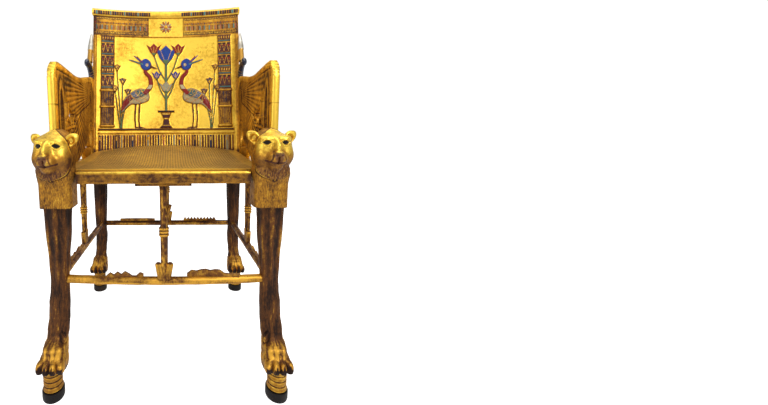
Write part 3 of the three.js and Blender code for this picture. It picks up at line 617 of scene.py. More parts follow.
# Beams of rounded outline: side rails run back to the bowed rear, the front rail and its strip run across.
def addRails(look):
    half, end = look["half"], look["frontEnd"]
    inner, low = half - look["side"], seatTop - look["tall"]
    step, mid = look["step"], low + look["stepTall"]

    def alongSide(p, share):
        length = look["rearY"] + bow(p[:, 0]) + railFront
        return np.stack([p[:, 0], -railFront + share * length, p[:, 1]], 1)

    profile = roundedOutline([(inner, seatTop), (half, seatTop), (half, mid), (half - step, mid),
                              (half - step, low), (inner + step, low), (inner + step, mid), (inner, mid)],
                             look["corner"])
    rings = beamRings(profile, alongSide, np.linspace(0, 1, 30))
    edge = np.where(np.hypot(profile[:, 0] - half, profile[:, 1] - seatTop) < 6, 0.5, 0.0)
    addPair("side_rail", [tube(rings, np.tile(edge, len(rings)))], "gilding")

    face, under = -railFront - look["frontDepth"], seatTop - look["frontTall"]
    rear = -railFront - joint

    def dented(p, x):  # the front face is a little uneven
        dent = 1.2 * noiseAt(x / 26 + p[:, 1], p[:, 1] / 9, 3) * (p[:, 0] < face + 4)
        return acrossSeat(p - np.stack([dent, 0 * dent], 1), x)

    profile = roundedOutline([(rear, seatTop), (face, seatTop), (face, under), (rear, under)],
                             look["corner"], 4)
    profile = denser(profile, 3)
    rings = beamRings(profile, dented, np.linspace(-end, end, 120))
    onFace = (profile[:, 0] < face + 1.5) & (profile[:, 1] < seatTop - 4)
    lip = (profile[:, 0] < face + 5) & (profile[:, 1] >= seatTop - 4)
    pit = np.where(onFace, -0.55, np.where(lip, 0.45, 0.1))
    addPiece("front_rail", [tube(rings, np.tile(pit, len(rings)))], "gilding")

    y0, y1, thick = look["strip"]
    top = under - joint
    profile = roundedOutline([(y0, top), (y1, top), (y1, top - thick), (y0, top - thick)], 1.5)
    rings = beamRings(profile, acrossSeat, np.linspace(-60, 60, 20))
    addPiece("rail_strip", [tube(rings, -0.5)], "gilding")

    def bowed(p, x):
        return acrossSeat(p + (look["rearY"] + bow(x), 0), x)

    side = look["side"]
    profile = roundedOutline([(-side, seatTop), (0, seatTop), (0, mid), (-step, mid), (-step, low),
                              (-side, low)], look["corner"])
    rings = beamRings(profile, bowed, np.linspace(-inner + joint, inner - joint, 40))
    addPiece("rear_rail", [tube(rings)], "gilding")


addRails(rails)

seat = {"half": 235.7, "thick": 17, "dish": 6, "riseSide": 18, "riseMiddle": 36, "riseFrom": -150,
        "cell": 7.2, "border": 34, "frontBorder": 26,
        "dark": tone(96, 72, 34), "mid": tone(184, 146, 74), "bright": tone(244, 208, 92)}


# Plaited seat: gold leaf over a square lattice of raised cords; "inlay" marks where the lattice is.
def latticeLeaf(look):
    s = Surface(bpy.data.materials.new("lattice"))
    blotch, grain = s.noise(9, 6, 0.62), s.noise(95, 4, 0.6)
    spot = s.node("ShaderNodeTexCoord", {}, {}, "Object")
    waves = []
    for k in (0, 1):
        across = s.node("ShaderNodeSeparateXYZ", {}, {0: spot}, k) * (2 * math.pi * 1000 / look["cell"])
        waves.append(s.node("ShaderNodeMath", {"operation": "COSINE"}, {0: across}))
    # the holes between the cords are dipped by the bump and painted darker, as painted shade
    hole = (waves[0] + waves[1] + 2 + 0.8 * (grain - 0.5)).between(2.1, 3.6) * s.value("inlay")
    wearAndShade = 0.5 + 1.2 * (blotch - 0.5) + 0.7 * (grain - 0.5) + 0.6 * s.value("pit") - 0.75 * hole
    low = s.mix(wearAndShade.between(0.0, 0.5), look["dark"], look["mid"])
    return s.finish(Base_Color=s.mix(wearAndShade.between(0.55, 1.1), low, look["bright"]),
                    Metallic=0.35 + 0.4 * wearAndShade.between(0, 0.7), Roughness=0.5 - 0.12 * wearAndShade.between(0, 1),
                    Normal=s.bump(0.3 * grain - hole, 0.5, 0.002))


# Lengthwise rings: the top rises in an arch to the back and is dished in the middle, the underside is level.
def addSeat(look):
    materials["lattice"] = latticeLeaf(look)
    half = look["half"]
    x = np.linspace(-half, half, 110)[:, None]
    start = -railFront + joint
    stop = panelFront(sill) + bow(x) - 4
    end = rails["rearY"] - rails["side"] - joint + bow(x)
    y = start + (stop - start) * np.linspace(0, 1, 100)[None]
    rise = smooth((y - look["riseFrom"]) / (stop - look["riseFrom"]))
    arch = look["riseSide"] + (look["riseMiddle"] - look["riseSide"]) * (1 - (x / half) ** 2)
    hollow = np.maximum(0, 1 - (x / 205) ** 2) * np.maximum(0, 1 - ((y + 110) / 130) ** 2)
    z = seatTop + arch * rise - look["dish"] * hollow
    low = np.full_like(x, seatTop - look["thick"])
    level = np.full_like(x, seatTop)
    ringY = np.hstack([y, stop + 0.5, end, end, stop, np.full_like(x, start)])
    ringZ = np.hstack([z, level, level, low, low, low])
    rings = np.stack([np.broadcast_to(x, ringY.shape), ringY, ringZ], -1)
    inside = np.minimum(half - look["border"] - np.abs(ringY * 0 + x), ringY - start - look["frontBorder"])
    mesh = np.where(ringZ > seatTop - 8, smooth(inside / 3), 0)
    pit = 0.4 - 0.3 * mesh + 0.5 * (ringY < start + 14) - 0.8 * np.exp(-np.abs(inside) / 2.0)
    pit = pit - 0.6 * smooth((ringY - stop + 22) / 22)  # painted shade where the seat meets the back
    addPiece("seat", [tube(rings, pit.ravel(), inlay=mesh.ravel())], "lattice")


addSeat(seat)
print("seat frame made")

legs = {"top": 463.7, "maneBottom": 440.7, "rows": 190, "pawRows": 64, "turns": 80, "flute": 1.3,
        "toePitch": 15.4}
# Columns: height, middle X and Y from the leg's own line, half width, half depth.
forelegRows = [
    [100, 13, -14, 24, 19], [120, 12, -13, 24, 17], [140, 10.5, -9, 24.5, 16.5], [172, 8.5, -3, 23.5, 17],
    [205, 7.5, 0, 23, 19.5], [235, 6.5, 4, 21.5, 17.5], [262, 6, 5, 21, 18], [310, 4, 3, 23, 21],
    [380, 1.5, 0, 27, 28], [464, 0, -1, 29, 32]]
hindlegRows = [
    [100, 12, 6, 22, 17], [130, 9.5, 6, 20.5, 14], [160, 7, 8, 20, 14.5], [190, 5, 9, 21, 18.5],
    [208, 4, 8, 21, 19], [238, 2.5, -2, 19.5, 17], [265, 2, -6, 20, 18.5], [310, 1.5, -5, 21.5, 22],
    [380, 1, -2, 23, 28], [464, 0, 1, 24.5, 34]]
foreleg = {"name": "foreleg", "rows": forelegRows, "x": 238, "y": -250, "footX": 254, "footY": -290,
           "pawIn": 5, "seed": 21, "shade": 0.3}
hindleg = {"name": "hindleg", "rows": hindlegRows, "x": 246, "y": 183, "footX": 258, "footY": 172,
           "pawIn": 0, "seed": 22, "shade": 0.66}
pawBase = 73.3
pawRows = [[pawBase, 29, 24, 0], [pawBase + 16, 30.5, 27, 0], [pawBase + 40, 25, 21, 6],
           [pawBase + 58, 20, 14, 13]]


def squareOval(p, q, hx, hy, power):  # about the distance to an upright post of squarish oval outline
    return ((np.abs(p / hx) ** power + np.abs(q / hy) ** power) ** (1 / power) - 1) * np.minimum(hx, hy)


# A limb read from its rows, blended with a paw, a dew claw and four toes, then fluted, worn and streaked.
def addLeg(look, leg):
    footX, footY, seed = leg["footX"] - leg["pawIn"], leg["footY"], leg["seed"]

    def field(x, y, z):
        cx, cy, hx, hy = readRows(leg["rows"], z)
        limb = squareOval(x - leg["x"] - cx, y - leg["y"] - cy, hx, hy, 2.6) + 1.2 * np.maximum(0, 100 - z)
        px, py, pb = readRows(pawRows, z)
        paw = squareOval(x - footX, y - footY - pb, px, py, 2.8) + 0.9 * np.maximum(0, z - pawBase - 46)
        claw = ballField(x, y, z, (footX - 22, footY + 6, pawBase + 60), (5, 6, 9))
        toes = [ballField(x, y, z, (footX + look["toePitch"] * k, footY - 26 + 3 * abs(k), pawBase + 14),
                          (8.4, 14.5, 14.5)) for k in (-1.5, -0.5, 0.5, 1.5)]
        return blended(blended(blended(limb, paw, 12), claw, 5), np.minimum.reduce(toes), 3)

    def axis(z):  # from the paw's middle up the limb
        cx, cy, _, _ = readRows(leg["rows"], np.maximum(z, 100))
        share = smooth((z - pawBase) / 60)
        return mixed(share, footX, leg["x"] + cx), mixed(share, footY + 1, leg["y"] + cy)

    low = pawBase + np.linspace(0, 62, look["pawRows"])  # closer rows on the paw
    heights = np.concatenate([low, np.linspace(low[-1], look["top"], look["rows"] - look["pawRows"])[1:]])
    turns = np.linspace(-np.pi, np.pi, look["turns"], endpoint=False) + 0.5 * np.pi
    turns = turns + 0.45 * np.sin(2 * turns) * 0.5  # closer together in front and behind
    r, turn, z = castRings(field, heights, turns, axis, 64)
    ridge = np.cos(8 * turn + 0.35 * np.sin(z / 46)) * smooth((z - 215) / 90)
    r = r + look["flute"] * ridge + 1.1 * (noiseAt(turn * 7 + 40, z / 16, seed) - 0.5)
    ax, ay = axis(z)
    x, y = ax + r * np.cos(turn), ay + r * np.sin(turn)
    frontSide = smooth((footY + pawRows[0][3] - y) / 8)
    onPaw = smooth((pawBase + 66 - z) / 26)
    toe = 1 - np.abs(((x - footX) / look["toePitch"] + 10) % 1 - 0.5) * 2  # 1 on a toe's middle, 0 between
    groove = smooth((toe - 0.66) / 0.3) * frontSide * smooth((pawBase + 27 - z) / 8)
    tendon = (0.5 - toe) * frontSide * onPaw * smooth((z - pawBase - 22) / 8)
    r = r + 1.6 * tendon - 2.2 * groove
    x, y = ax + r * np.cos(turn), ay + r * np.sin(turn)
    if leg is foreleg:  # behind the hanging mane
        y = np.where(z > look["maneBottom"] - 0.01, np.maximum(y, -railFront + joint), y)
    streak = noiseAt(turn * 9 + 60, z / 60, seed + 5) - 0.5
    patch = noiseAt(turn * 2.2 + 20, z / 34, seed + 9) - 0.5
    speck = noiseAt(turn * 11 + 80, z / 7, seed + 13) - 0.5
    bed = smooth((pawBase + 20 - z) / 5) * frontSide * smooth((toe - 0.16) / 0.12)  # dark but for slivers
    pit = 0.55 * streak + 0.7 * patch + 0.2 * ridge - 0.45 - leg["shade"] * smooth((z - 300) / 120)
    pit = pit + onPaw * (1 + 0.9 * speck) + 0.6 * tendon - 2.2 * groove - 2.4 * bed
    addPair(leg["name"], [tube(np.stack([x, y, z], -1), pit.ravel())], "worn")


addLeg(legs, foreleg)
addLeg(legs, hindleg)
print("legs made")

feet = {"drumR": 22, "drumTop": 73, "capR": 24.5, "capTop": 22, "bands": 4, "turns": 48}


def addFeet(look):  # banded drums on dark caps, turned
    for place, leg in (("front", foreleg), ("rear", hindleg)):
        at = (leg["footX"], leg["footY"])
        z = np.linspace(look["capTop"] + joint, look["drumTop"], 60)
        wave = (z - z[0]) / (z[-1] - z[0]) * look["bands"] % 1
        band = smooth((wave - 0.08) / 0.12) * smooth((0.92 - wave) / 0.12)
        radius = look["drumR"] - 2.6 + 1.6 * band + 1.0 * smooth((z - 62) / 8) + 0.9 * smooth((28 - z) / 4)
        drum = [lathe(list(zip(radius, z)), look["turns"], at, 0.55 * band - 0.75)]
        addPair(f"foot_drum_{place}", drum, "gilding")
        edge = [(3, 0), (1, 0.6), (0.1, 3), (0, 10), (0, 19), (0.6, 21.4), (1.9, look["capTop"])]
        rows = [(look["capR"] - inset, z) for inset, z in edge]
        addPair(f"foot_cap_{place}", [lathe(rows, look["turns"], at)], "bronze")


addFeet(feet)

bars = {"z": 258, "r": 9.5, "bow": 12, "frontY": -246, "rearY": 179, "sideX": 245, "turns": 20}


def sweep(path, radius, count, pit):  # a round bar along a line of points, with a radius at each
    line = np.array(path, float)
    along = np.gradient(line, axis=0)
    along /= np.linalg.norm(along, axis=1)[:, None]
    side = np.cross(along, (0, 0, 1.0) if abs(along[0, 2]) < 0.9 else (0, 1.0, 0))
    side /= np.linalg.norm(side, axis=1)[:, None]
    up = np.cross(side, along)
    t = roundTurns(count)
    radius = np.asarray(radius).reshape(len(line), -1, 1)
    rings = line[:, None] + radius * (side[:, None] * np.cos(t)[:, None] + up[:, None] * np.sin(t)[:, None])
    return tube(rings, pit)


def addBars(look):  # round bars between the legs, lumpy and patchy, the front one bowed
    def bar(x, y, seed, gold):
        path = np.stack([x + 0 * y, y + 0 * x, look["z"] + 0 * (x + y)], 1)
        u, v = np.meshgrid(np.arange(len(path)) / 4, roundTurns(look["turns"]), indexing="ij")
        radius = look["r"] * (1 + 0.1 * (noiseAt(u, v * 2, seed) - 0.5))
        pit = 1.6 * (noiseAt(u / 3, v * 1.3, seed + 1) - 0.5) - 0.25 * np.sin(v) + gold
        return [sweep(path, radius, look["turns"], pit.ravel())]

    x = np.linspace(-229, 229, 110)
    # the last number given to bar is painted light and shade: the front bar lighter, the rear and side bars
    # darker in the shade of the seat
    addPiece("stretcher_front", bar(x, look["frontY"] - look["bow"] * (1 - (x / 230) ** 2), 31, 0.5), "worn")
    addPiece("stretcher_rear", bar(np.linspace(-230, 230, 90), look["rearY"], 33, -0.2), "worn")
    addPair("stretcher", bar(look["sideX"], np.linspace(-232, 166, 90), 35, -0.3), "worn")


addBars(bars)

stems = {"frontY": -262, "sideY": -36, "leafReach": 6.5, "leafTall": 38, "tieTall": 22, "tieShare": 0.52,
         "turns": 30}


# Upright stalks: a lobed round stem, three turns of binding and two leaves flaring from the foot.
def stemShells(look, x, y, top, turned, branch):
    count = look["turns"]
    low = bars["z"] + 2
    mid = low + (top - low) * look["tieShare"]
    z = np.linspace(low, top, 90)
    radius = np.interp(z, [low, low + 40, mid, top - 12, top], [7.6, 8, 8.6, 9.6, 10.6])
    rings = np.array([ovalRing(0, 0, h, r, r, count, 2, 0.07, 5) for h, r in zip(z, radius)])
    u, v = np.meshgrid(z / 7, roundTurns(count) * 3, indexing="ij")
    shells = [tube(rings, (1.5 * (noiseAt(u, v, 41) - 0.3)).ravel())]
    wave = np.linspace(0, 1, 40)
    bulge = np.abs(np.sin(wave * 3 * np.pi)) ** 0.6
    tie = mid + (wave - 0.5) * look["tieTall"]
    rings = np.array([ovalRing(0, 0, h, 8.8 + 2.8 * b, 8.2 + 2.5 * b, count, 2.6)
                      for h, b in zip(tie, bulge)])
    shells.append(tube(rings, np.repeat(1.5 * bulge - 0.9, count)))
    for side in (-1, 1):
        h = np.linspace(0, 1, 24)
        rings = np.array([ovalRing(side * (7 + look["leafReach"] * t), 0, low + 4 + look["leafTall"] * t,
                                   8 * (1 - smooth((t - 0.92) / 0.1) * 0.5), mixed(t, 7, 6.4), 20, 3)
                          for t in h])
        shells.append(tube(rings, np.repeat(0.1 + 0.5 * h, 20) - 0.3))
    if branch:
        path = np.stack([np.linspace(5, 15, 14), np.zeros(14), np.linspace(top - 78, top - 46, 14)], 1)
        shells.append(sweep(path, np.linspace(4.5, 3.4, 14), 12, -0.3))

    def stand(p):
        return (np.stack([-p[:, 1], p[:, 0], p[:, 2]], 1) if turned else p) + (x, y, 0)

    return [s.moved(stand) for s in shells]


def addStems(look):
    stripLow = seatTop - rails["frontTall"] - 2 * joint - rails["strip"][2]
    addPiece("stem_front", stemShells(look, 0, look["frontY"], stripLow, False, True), "worn")
    under = seatTop - seat["thick"] - joint
    addPiece("stem_rear", stemShells(look, 0, bars["rearY"], under, False, False), "worn")
    railLow = seatTop - rails["tall"] - joint
    addPair("stem", stemShells(look, bars["sideX"] + 2, look["sideY"], railLow, True, False), "worn")


addStems(stems)
for node in [f"stub_{place}_{side}" for place in ("front", "rear", "side") for side in ("left", "right")]:
    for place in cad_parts[node].material_slots:  # broken openwork keeps its solid, under a crust
        place.material = materials["crust"]
print("bars and stems made")

lions = {"x": 224, "y": -286, "bottom": 441, "tall": 1.05, "rows": 160, "turns": 176, "hair": 0.6,
         "maneBack": -23.4, "skullBack": -63.2, "eyeX": 17, "eyeZ": 124, "eyeWide": 7.6,
         "eyeTall": 4.4, "mouthZ": 86.5,
         "left": {"turn": -0.03, "up": 5.0}, "right": {"turn": -0.06, "up": 0.0}}


def faceHeight(z, up):  # the face sits higher by up on one head
    return z - up * smooth((z - 66) / 16) * smooth((150 - z) / 14)


def lionBack(z):  # the flat back of the mane below the seat, and of the skull above it
    return np.where(z * lions["tall"] + lions["bottom"] < sill, lions["maneBack"], lions["skullBack"])


# Across, forward and up from the foot of the mane: rounded forms blended into one head.
def lionField(x, f, z, up):
    s = np.abs(x)
    h = faceHeight(z, up)
    d = barField(x, f, z, (0, -3, 28), (35, 27, 48), 13)  # hanging mane
    d = blended(d, ballField(x, f, z, (0, 3, 70), (37, 35, 25)), 14)  # ruff under the jaw
    d = blended(d, ballField(x, f, z, (0, -14, 110), (37.5, 46, 47)), 12)  # skull
    d = blended(d, barField(x, f, h, (0, 3, 113), (33.5, 33, 30), 20), 10)  # broad flat face
    d = blended(d, ballField(s, f, h, (18, 22, 98), (17, 17, 19)), 12)  # cheeks
    d = blended(d, ballField(s, f, h, (7.5, 42, 94), (11, 18, 11)), 8)  # muzzle
    d = blended(d, ballField(x, f, h, (0, 38, 79.5), (12, 13, 8)), 6)  # chin
    d = blended(d, ballField(x, f, h, (0, 33, 114), (7.5, 23, 19)), 12)  # bridge of the nose
    d = blended(d, ballField(x, f, h, (0, 57, 104), (8.6, 5.5, 5)), 4)  # nose tip
    d = blended(d, ballField(s, f, h, (16, 31, 132), (12, 8, 5)), 6)  # brow
    return np.maximum(d, lionBack(z) - f)


def lionEars(up):  # cups squarer above and narrowing to the cheek, hollowed in front
    shells = []
    a, b = np.meshgrid(np.linspace(0.02, np.pi - 0.02, 34), roundTurns(40), indexing="ij")
    for hand in (-1, 1):
        square = (np.abs(np.cos(b)) ** 2.7 + np.abs(np.sin(b)) ** 2.7) ** (-1 / 2.7)
        ex, ey, ez = 14 * np.sin(a) * np.cos(b) * square, 6.5 * np.cos(a), 15 * np.sin(a) * np.sin(b) * square
        ex = ex * (1 + 0.043 * np.minimum(ez, 0)) + hand * 0.34 * ez
        cup = np.clip(1 - np.hypot(ex / 9.5, (ez - 1) / 10.5), 0, 1)
        ey = np.where(np.cos(a) > 0, ey - 8 * smooth(cup * 1.6), ey)
        c, s = math.cos(0.3 * hand), math.sin(0.3 * hand)
        earPit = np.where(np.cos(a) > 0, 0.9 - 1.3 * np.exp(-((cup - 0.06) / 0.06) ** 2) + 0.03 * ez, -0.4)
        ear = np.stack([ex * c + ey * s + hand * 36, -ex * s + ey * c + 7, ez + 132.5 + 0.7 * up], -1)
        shells.append(tube(ear, earPit.ravel()))
    return shells


# Rings cast on the head's field, then hair, lids, lips and creases lifted or cut along the radius.
def lionHead(look, side):
    up, spin = look[side]["up"], look[side]["turn"]
    u = np.linspace(-1, 1, look["turns"], endpoint=False)
    turns = np.pi / 2 + np.pi * (0.55 * u + 0.45 * u ** 3)  # closer together at the face
    crown = 150 + 6.8 * np.sin(np.linspace(0, np.pi / 2, 25)[1:])
    heights = np.concatenate([np.linspace(0, 150, look["rows"] - 24), crown])
    r, turn, z = castRings(lambda x, f, z: lionField(x, f, z, up), heights, turns, lambda z: (0 * z, 0 * z),
                           84, 60)
    h = faceHeight(z, up)
    x, f = r * np.cos(turn), r * np.sin(turn)
    off = np.abs(turn - np.pi / 2)  # how far round from the front
    jaw = 1.24 * np.sqrt(np.clip(1 - ((103 - z) / 45) ** 2, 0, 1))
    rim = np.where(z < 103, jaw, 1.24 - (z - 103) * 0.0095)  # the turn at which the face ends
    face = smooth((rim - off) / 0.06)  # 1 inside the edge of the face
    edge = np.exp(-((off - rim) * r / 1.6) ** 2) * (z > 56)
    hairSide = np.where(f > -40, 1.0, 0.4)
    hair = noiseAt(turn * 22 + 30, z / 5.5 + 3 * noiseAt(turn * 5 + 9, z / 20, 51), 52) - 0.5
    tuft = noiseAt(turn * 40 + 90, z / 3.2 + turn * 6, 53) - 0.5
    ruff = face * smooth((81 - h - 6 * noiseAt(turn * 12 + 40, z / 9, 54)) / 6)
    skin = face * (1 - ruff)
    lift = (1 - face) * hairSide * look["hair"] * (hair + 0.7 * tuft) + 1.3 * ruff * (hair + tuft)
    lift = lift + 2.2 * edge + 3.0 * face
    ex, ez = np.abs(x) - look["eyeX"], h - look["eyeZ"]
    slit = look["eyeTall"] * np.sqrt(np.clip(1.05 - (ex / look["eyeWide"]) ** 2, 0.04, 1))
    lid = np.hypot(ex / look["eyeWide"], (ez + 0.06 * ex) / slit)
    front = f > 10
    lift = lift + front * (1.8 * np.exp(-((lid - 1.3) / 0.24) ** 2) - 1.3 * smooth((1.1 - lid) / 0.3))
    mouth = look["mouthZ"] + 3.4 * (np.abs(x) / 19) ** 2
    lips = np.exp(-((h - mouth) / 1.5) ** 2) * smooth((22 - np.abs(x)) / 3) * front
    cleft = np.exp(-(x / 1.3) ** 2) * smooth((h - look["mouthZ"]) / 2) * smooth((100 - h) / 2) * front
    nostril = np.exp(-((np.abs(x) - 5) / 2.4) ** 2 - ((h - 101) / 2) ** 2) * front
    crease = np.exp(-((np.abs(x) - 9 - 0.35 * (104 - h)) / 1.8) ** 2) * (f > 24)
    crease = crease * smooth((h - 88) / 4) * smooth((114 - h) / 6)
    lift = lift - 2.6 * lips - 1.6 * cleft - 1.8 * nostril - 1.2 * crease
    r = r + lift * smooth((156.6 - z) / 5)
    x, f = r * np.cos(turn), r * np.sin(turn)
    lit = smooth((h - 88) / 34)  # painted light: the upper face is lighter, as lit from above
    # the sides of the face are painted darker, as painted shade
    pit = skin * (1.15 * lit - 0.35 - 0.55 * smooth((off - 0.62) / 0.5)) - 0.45 * ruff + 1.5 * edge
    pit = pit - 1.4 * lips - 1.0 * cleft - 1.0 * nostril - 0.7 * crease
    pit = pit - (1 - face) * 0.3 + (1 - face) * (0.36 * hair + 0.24 * tuft) + ruff * (0.6 * hair + 0.5 * tuft)
    pit = pit - 1.3 * np.exp(-((off - rim - 0.08) * r / 2.2) ** 2) * (z > 54)  # dirt and painted shade in the crease outside the edge
    nose = smooth((9.5 - np.abs(x)) / 2) * smooth((h - 98) / 2) * smooth((108 - h) / 3) * (f > 36)
    snout = smooth((7 + (h - 86) * 0.45 - np.abs(x)) / 5) * (f > 30)
    snout = snout * smooth((h - 84) / 3) * smooth((101 - h) / 3)
    stain = smooth((104 - h) / 20) * (0.35 * skin + 0.5 * ruff)
    eye = smooth((1.02 - lid) / 0.12) * front
    paint = np.zeros((*x.shape, 3))
    paint[:] = tone(98, 54, 42)[:3]
    paint[eye > 0.5] = tone(22, 13, 11)[:3]
    inlay = np.maximum.reduce([eye, 0.9 * nose, 0.85 * snout, stain, 0.8 * lips])
    head = tube(np.stack([x, f, z], -1), pit.ravel(), paint.reshape(-1, 3), inlay.ravel())

    def stand(p):  # the face turned a little above the mane, then the head set on its corner
        w = spin * smooth((p[:, 2] - 40) / 50)
        across, ahead = p[:, 0] * np.cos(w) + p[:, 1] * np.sin(w), p[:, 1] * np.cos(w) - p[:, 0] * np.sin(w)
        ahead = np.maximum(ahead, lionBack(p[:, 2]))
        x = look["x"] if side == "left" else -look["x"]
        return np.stack([x + across, look["y"] - ahead, look["bottom"] + p[:, 2] * look["tall"]], -1)

    return [s.moved(stand) for s in (head, *lionEars(up))]


def addLions(look):
    for side in ("left", "right"):
        addPiece(f"lion_head_{side}", lionHead(look, side), "gilding", crease=70)


addLions(lions)
print("lions made")

palette = {
    "blue": tone(34, 72, 158), "deep": tone(44, 46, 76), "sea": tone(48, 98, 122),
    "turquoise": tone(86, 142, 138), "green": tone(104, 128, 84), "red": tone(150, 34, 24),
    "brown": tone(96, 46, 32), "maroon": tone(88, 42, 38), "salmon": tone(192, 104, 74),
    "linen": tone(176, 166, 132), "dusk": tone(58, 36, 34), "cream": tone(214, 198, 150)}
panel = {"across": 250, "up": 240, "column": 206, "columnHalf": 23, "dadoTop": 90,
         "friezeLow": 430, "friezeTop": 488, "middleHalf": 62, "rearAcross": 200, "rearUp": 190,
         "bay": 122, "reeds": 34}


def flowerOutline(x, t, s):  # three pointed petals, opening upward from x and t
    petals = [(0, 0), (18, 22), (34, 56), (16, 46), (0, 62), (-16, 46), (-34, 56), (-18, 22)]
    return [(x + a * s, t + b * s) for a, b in petals]


def drawDado(s, look):  # upright stripes of inlay under a dark band
    top = look["dadoTop"]
    s.raised(s.box(-236, 236, top - 2, top + 6), 3, 2, 0.1)
    s.inlaid(s.box(-234, 234, top - 1, top + 4.5), palette["dusk"])
    s.raised(s.box(-236, 236, top - 14, top - 9), 2, 1.5, 0.4)
    cycle = ["maroon", "brown", "deep", "maroon", "salmon", "brown", "dusk", "maroon", "linen", "brown"]
    for k, x in enumerate(np.arange(-230, 230, 9.2)):
        name = cycle[k % len(cycle)]
        wide = 3.2 if k % 6 else 4.4
        gap = s.box(x - wide, x + wide, 6, top - 17)
        s.inlaid(gap, palette[name], 0.8, 1.4)
        if k % 6 == 0:
            s.bare(s.disc(x, top - 30, 2.6, 7), 0.2)


def drawColumn(s, side, look):  # a plant column: striped foot, rings, banded and petalled shaft
    x, half = side * look["column"], look["columnHalf"]
    s.raised(s.box(x - half, x + half, 98, look["friezeLow"] - 2), 3, 2, -0.55)
    for low, high, wide in ((112, 168, 0.68), (182, 226, 0.9)):
        for k in np.linspace(-wide, wide, 6):
            flare = x + k * half * mixed((s.v - low) / (high - low), 0.8, 1.15)
            gap = s.box(flare - 1.9, flare + 1.9, low, high)
            s.inlaid(gap, palette["brown" if abs(k) > 0.3 else "deep"], 0.7)
    for t in (104, 172, 229):
        s.raised(s.box(x - half - 3, x + half + 3, t - 4, t + 4), 5, 2.5, 0.5)
    rows = [("band", 236, 244), ("petal", 246, 282), ("band", 285, 292), ("dots", 294, 308),
            ("band", 310, 317), ("petal", 319, 352), ("band", 355, 362), ("petal", 364, 398),
            ("band", 400, 407), ("dots", 409, 424)]
    for k, (kind, low, high) in enumerate(rows):
        block = s.box(x - half + 1, x + half - 1, low, high)
        if kind == "band":
            s.inlaid(block, palette["dusk"], 0.5)
            s.inlaid(s.box(x - half + 3, x + half - 3, low + 2.4, high - 2.4), palette["turquoise"], 0.2)
        elif kind == "dots":
            s.inlaid(block, palette["maroon"], 0.5)
            for p in np.linspace(-0.72, 0.72, 5):
                s.bare(s.disc(x + p * half, (low + high) / 2, 2.4, 4.5), 0.2)
        else:
            s.inlaid(block, palette["maroon" if k % 4 else "brown"], 0.5)
            tall = high - low
            for p in (-0.66, 0, 0.66):
                tip = [(x + (p - 0.33) * half, high), (x + p * half, low + 3), (x + (p + 0.33) * half, high)]
                gap = s.shape(tip)
                s.bare(np.abs(gap) - 0.9, 0.1)
                s.inlaid(gap, palette["dusk"], 1.6)
                s.inlaid(s.disc(x + p * half, high - tall * 0.32, 3, 5), palette["red"], 0.3)


def drawFrieze(s, look):  # rows of small inlay along the top, broken over the middle of the back
    low, top, mid = look["friezeLow"], look["friezeTop"], look["middleHalf"]
    for side in (-1, 1):
        x0, x1 = (mid, 254) if side > 0 else (-254, -mid)
        s.raised(s.box(x0, x1, low - 4, top + 6), 2.5, 2, -0.1)
        s.inlaid(s.box(x0 + 2, x1 - 2, low, low + 12), palette["dusk"], 0.5)
        s.inlaid(s.box(x0 + 2, x1 - 2, top - 5, top + 5), palette["dusk"], 0.5)
        for k, x in enumerate(np.arange(x0 + 5, x1 - 3, 5.6)):
            s.bare(s.disc(x, low + 6, 1.7, 3.6), 0.3)
            s.bare(s.disc(x, top, 1.9, 3), 0.35)
            reed = s.box(x - 1.9, x + 1.9, low + 17, low + 33)
            s.inlaid(reed, palette[("brown", "turquoise", "salmon")[k % 3]], 0.3)
            s.cut(s.box(x + 2.0, x + 3.4, low + 15, low + 46), 1.0, 0.8, 0.5)
            s.inlaid(s.disc(x, low + 41, 2.0, 3.6), palette[("red", "deep")[k % 2]], 0.2)


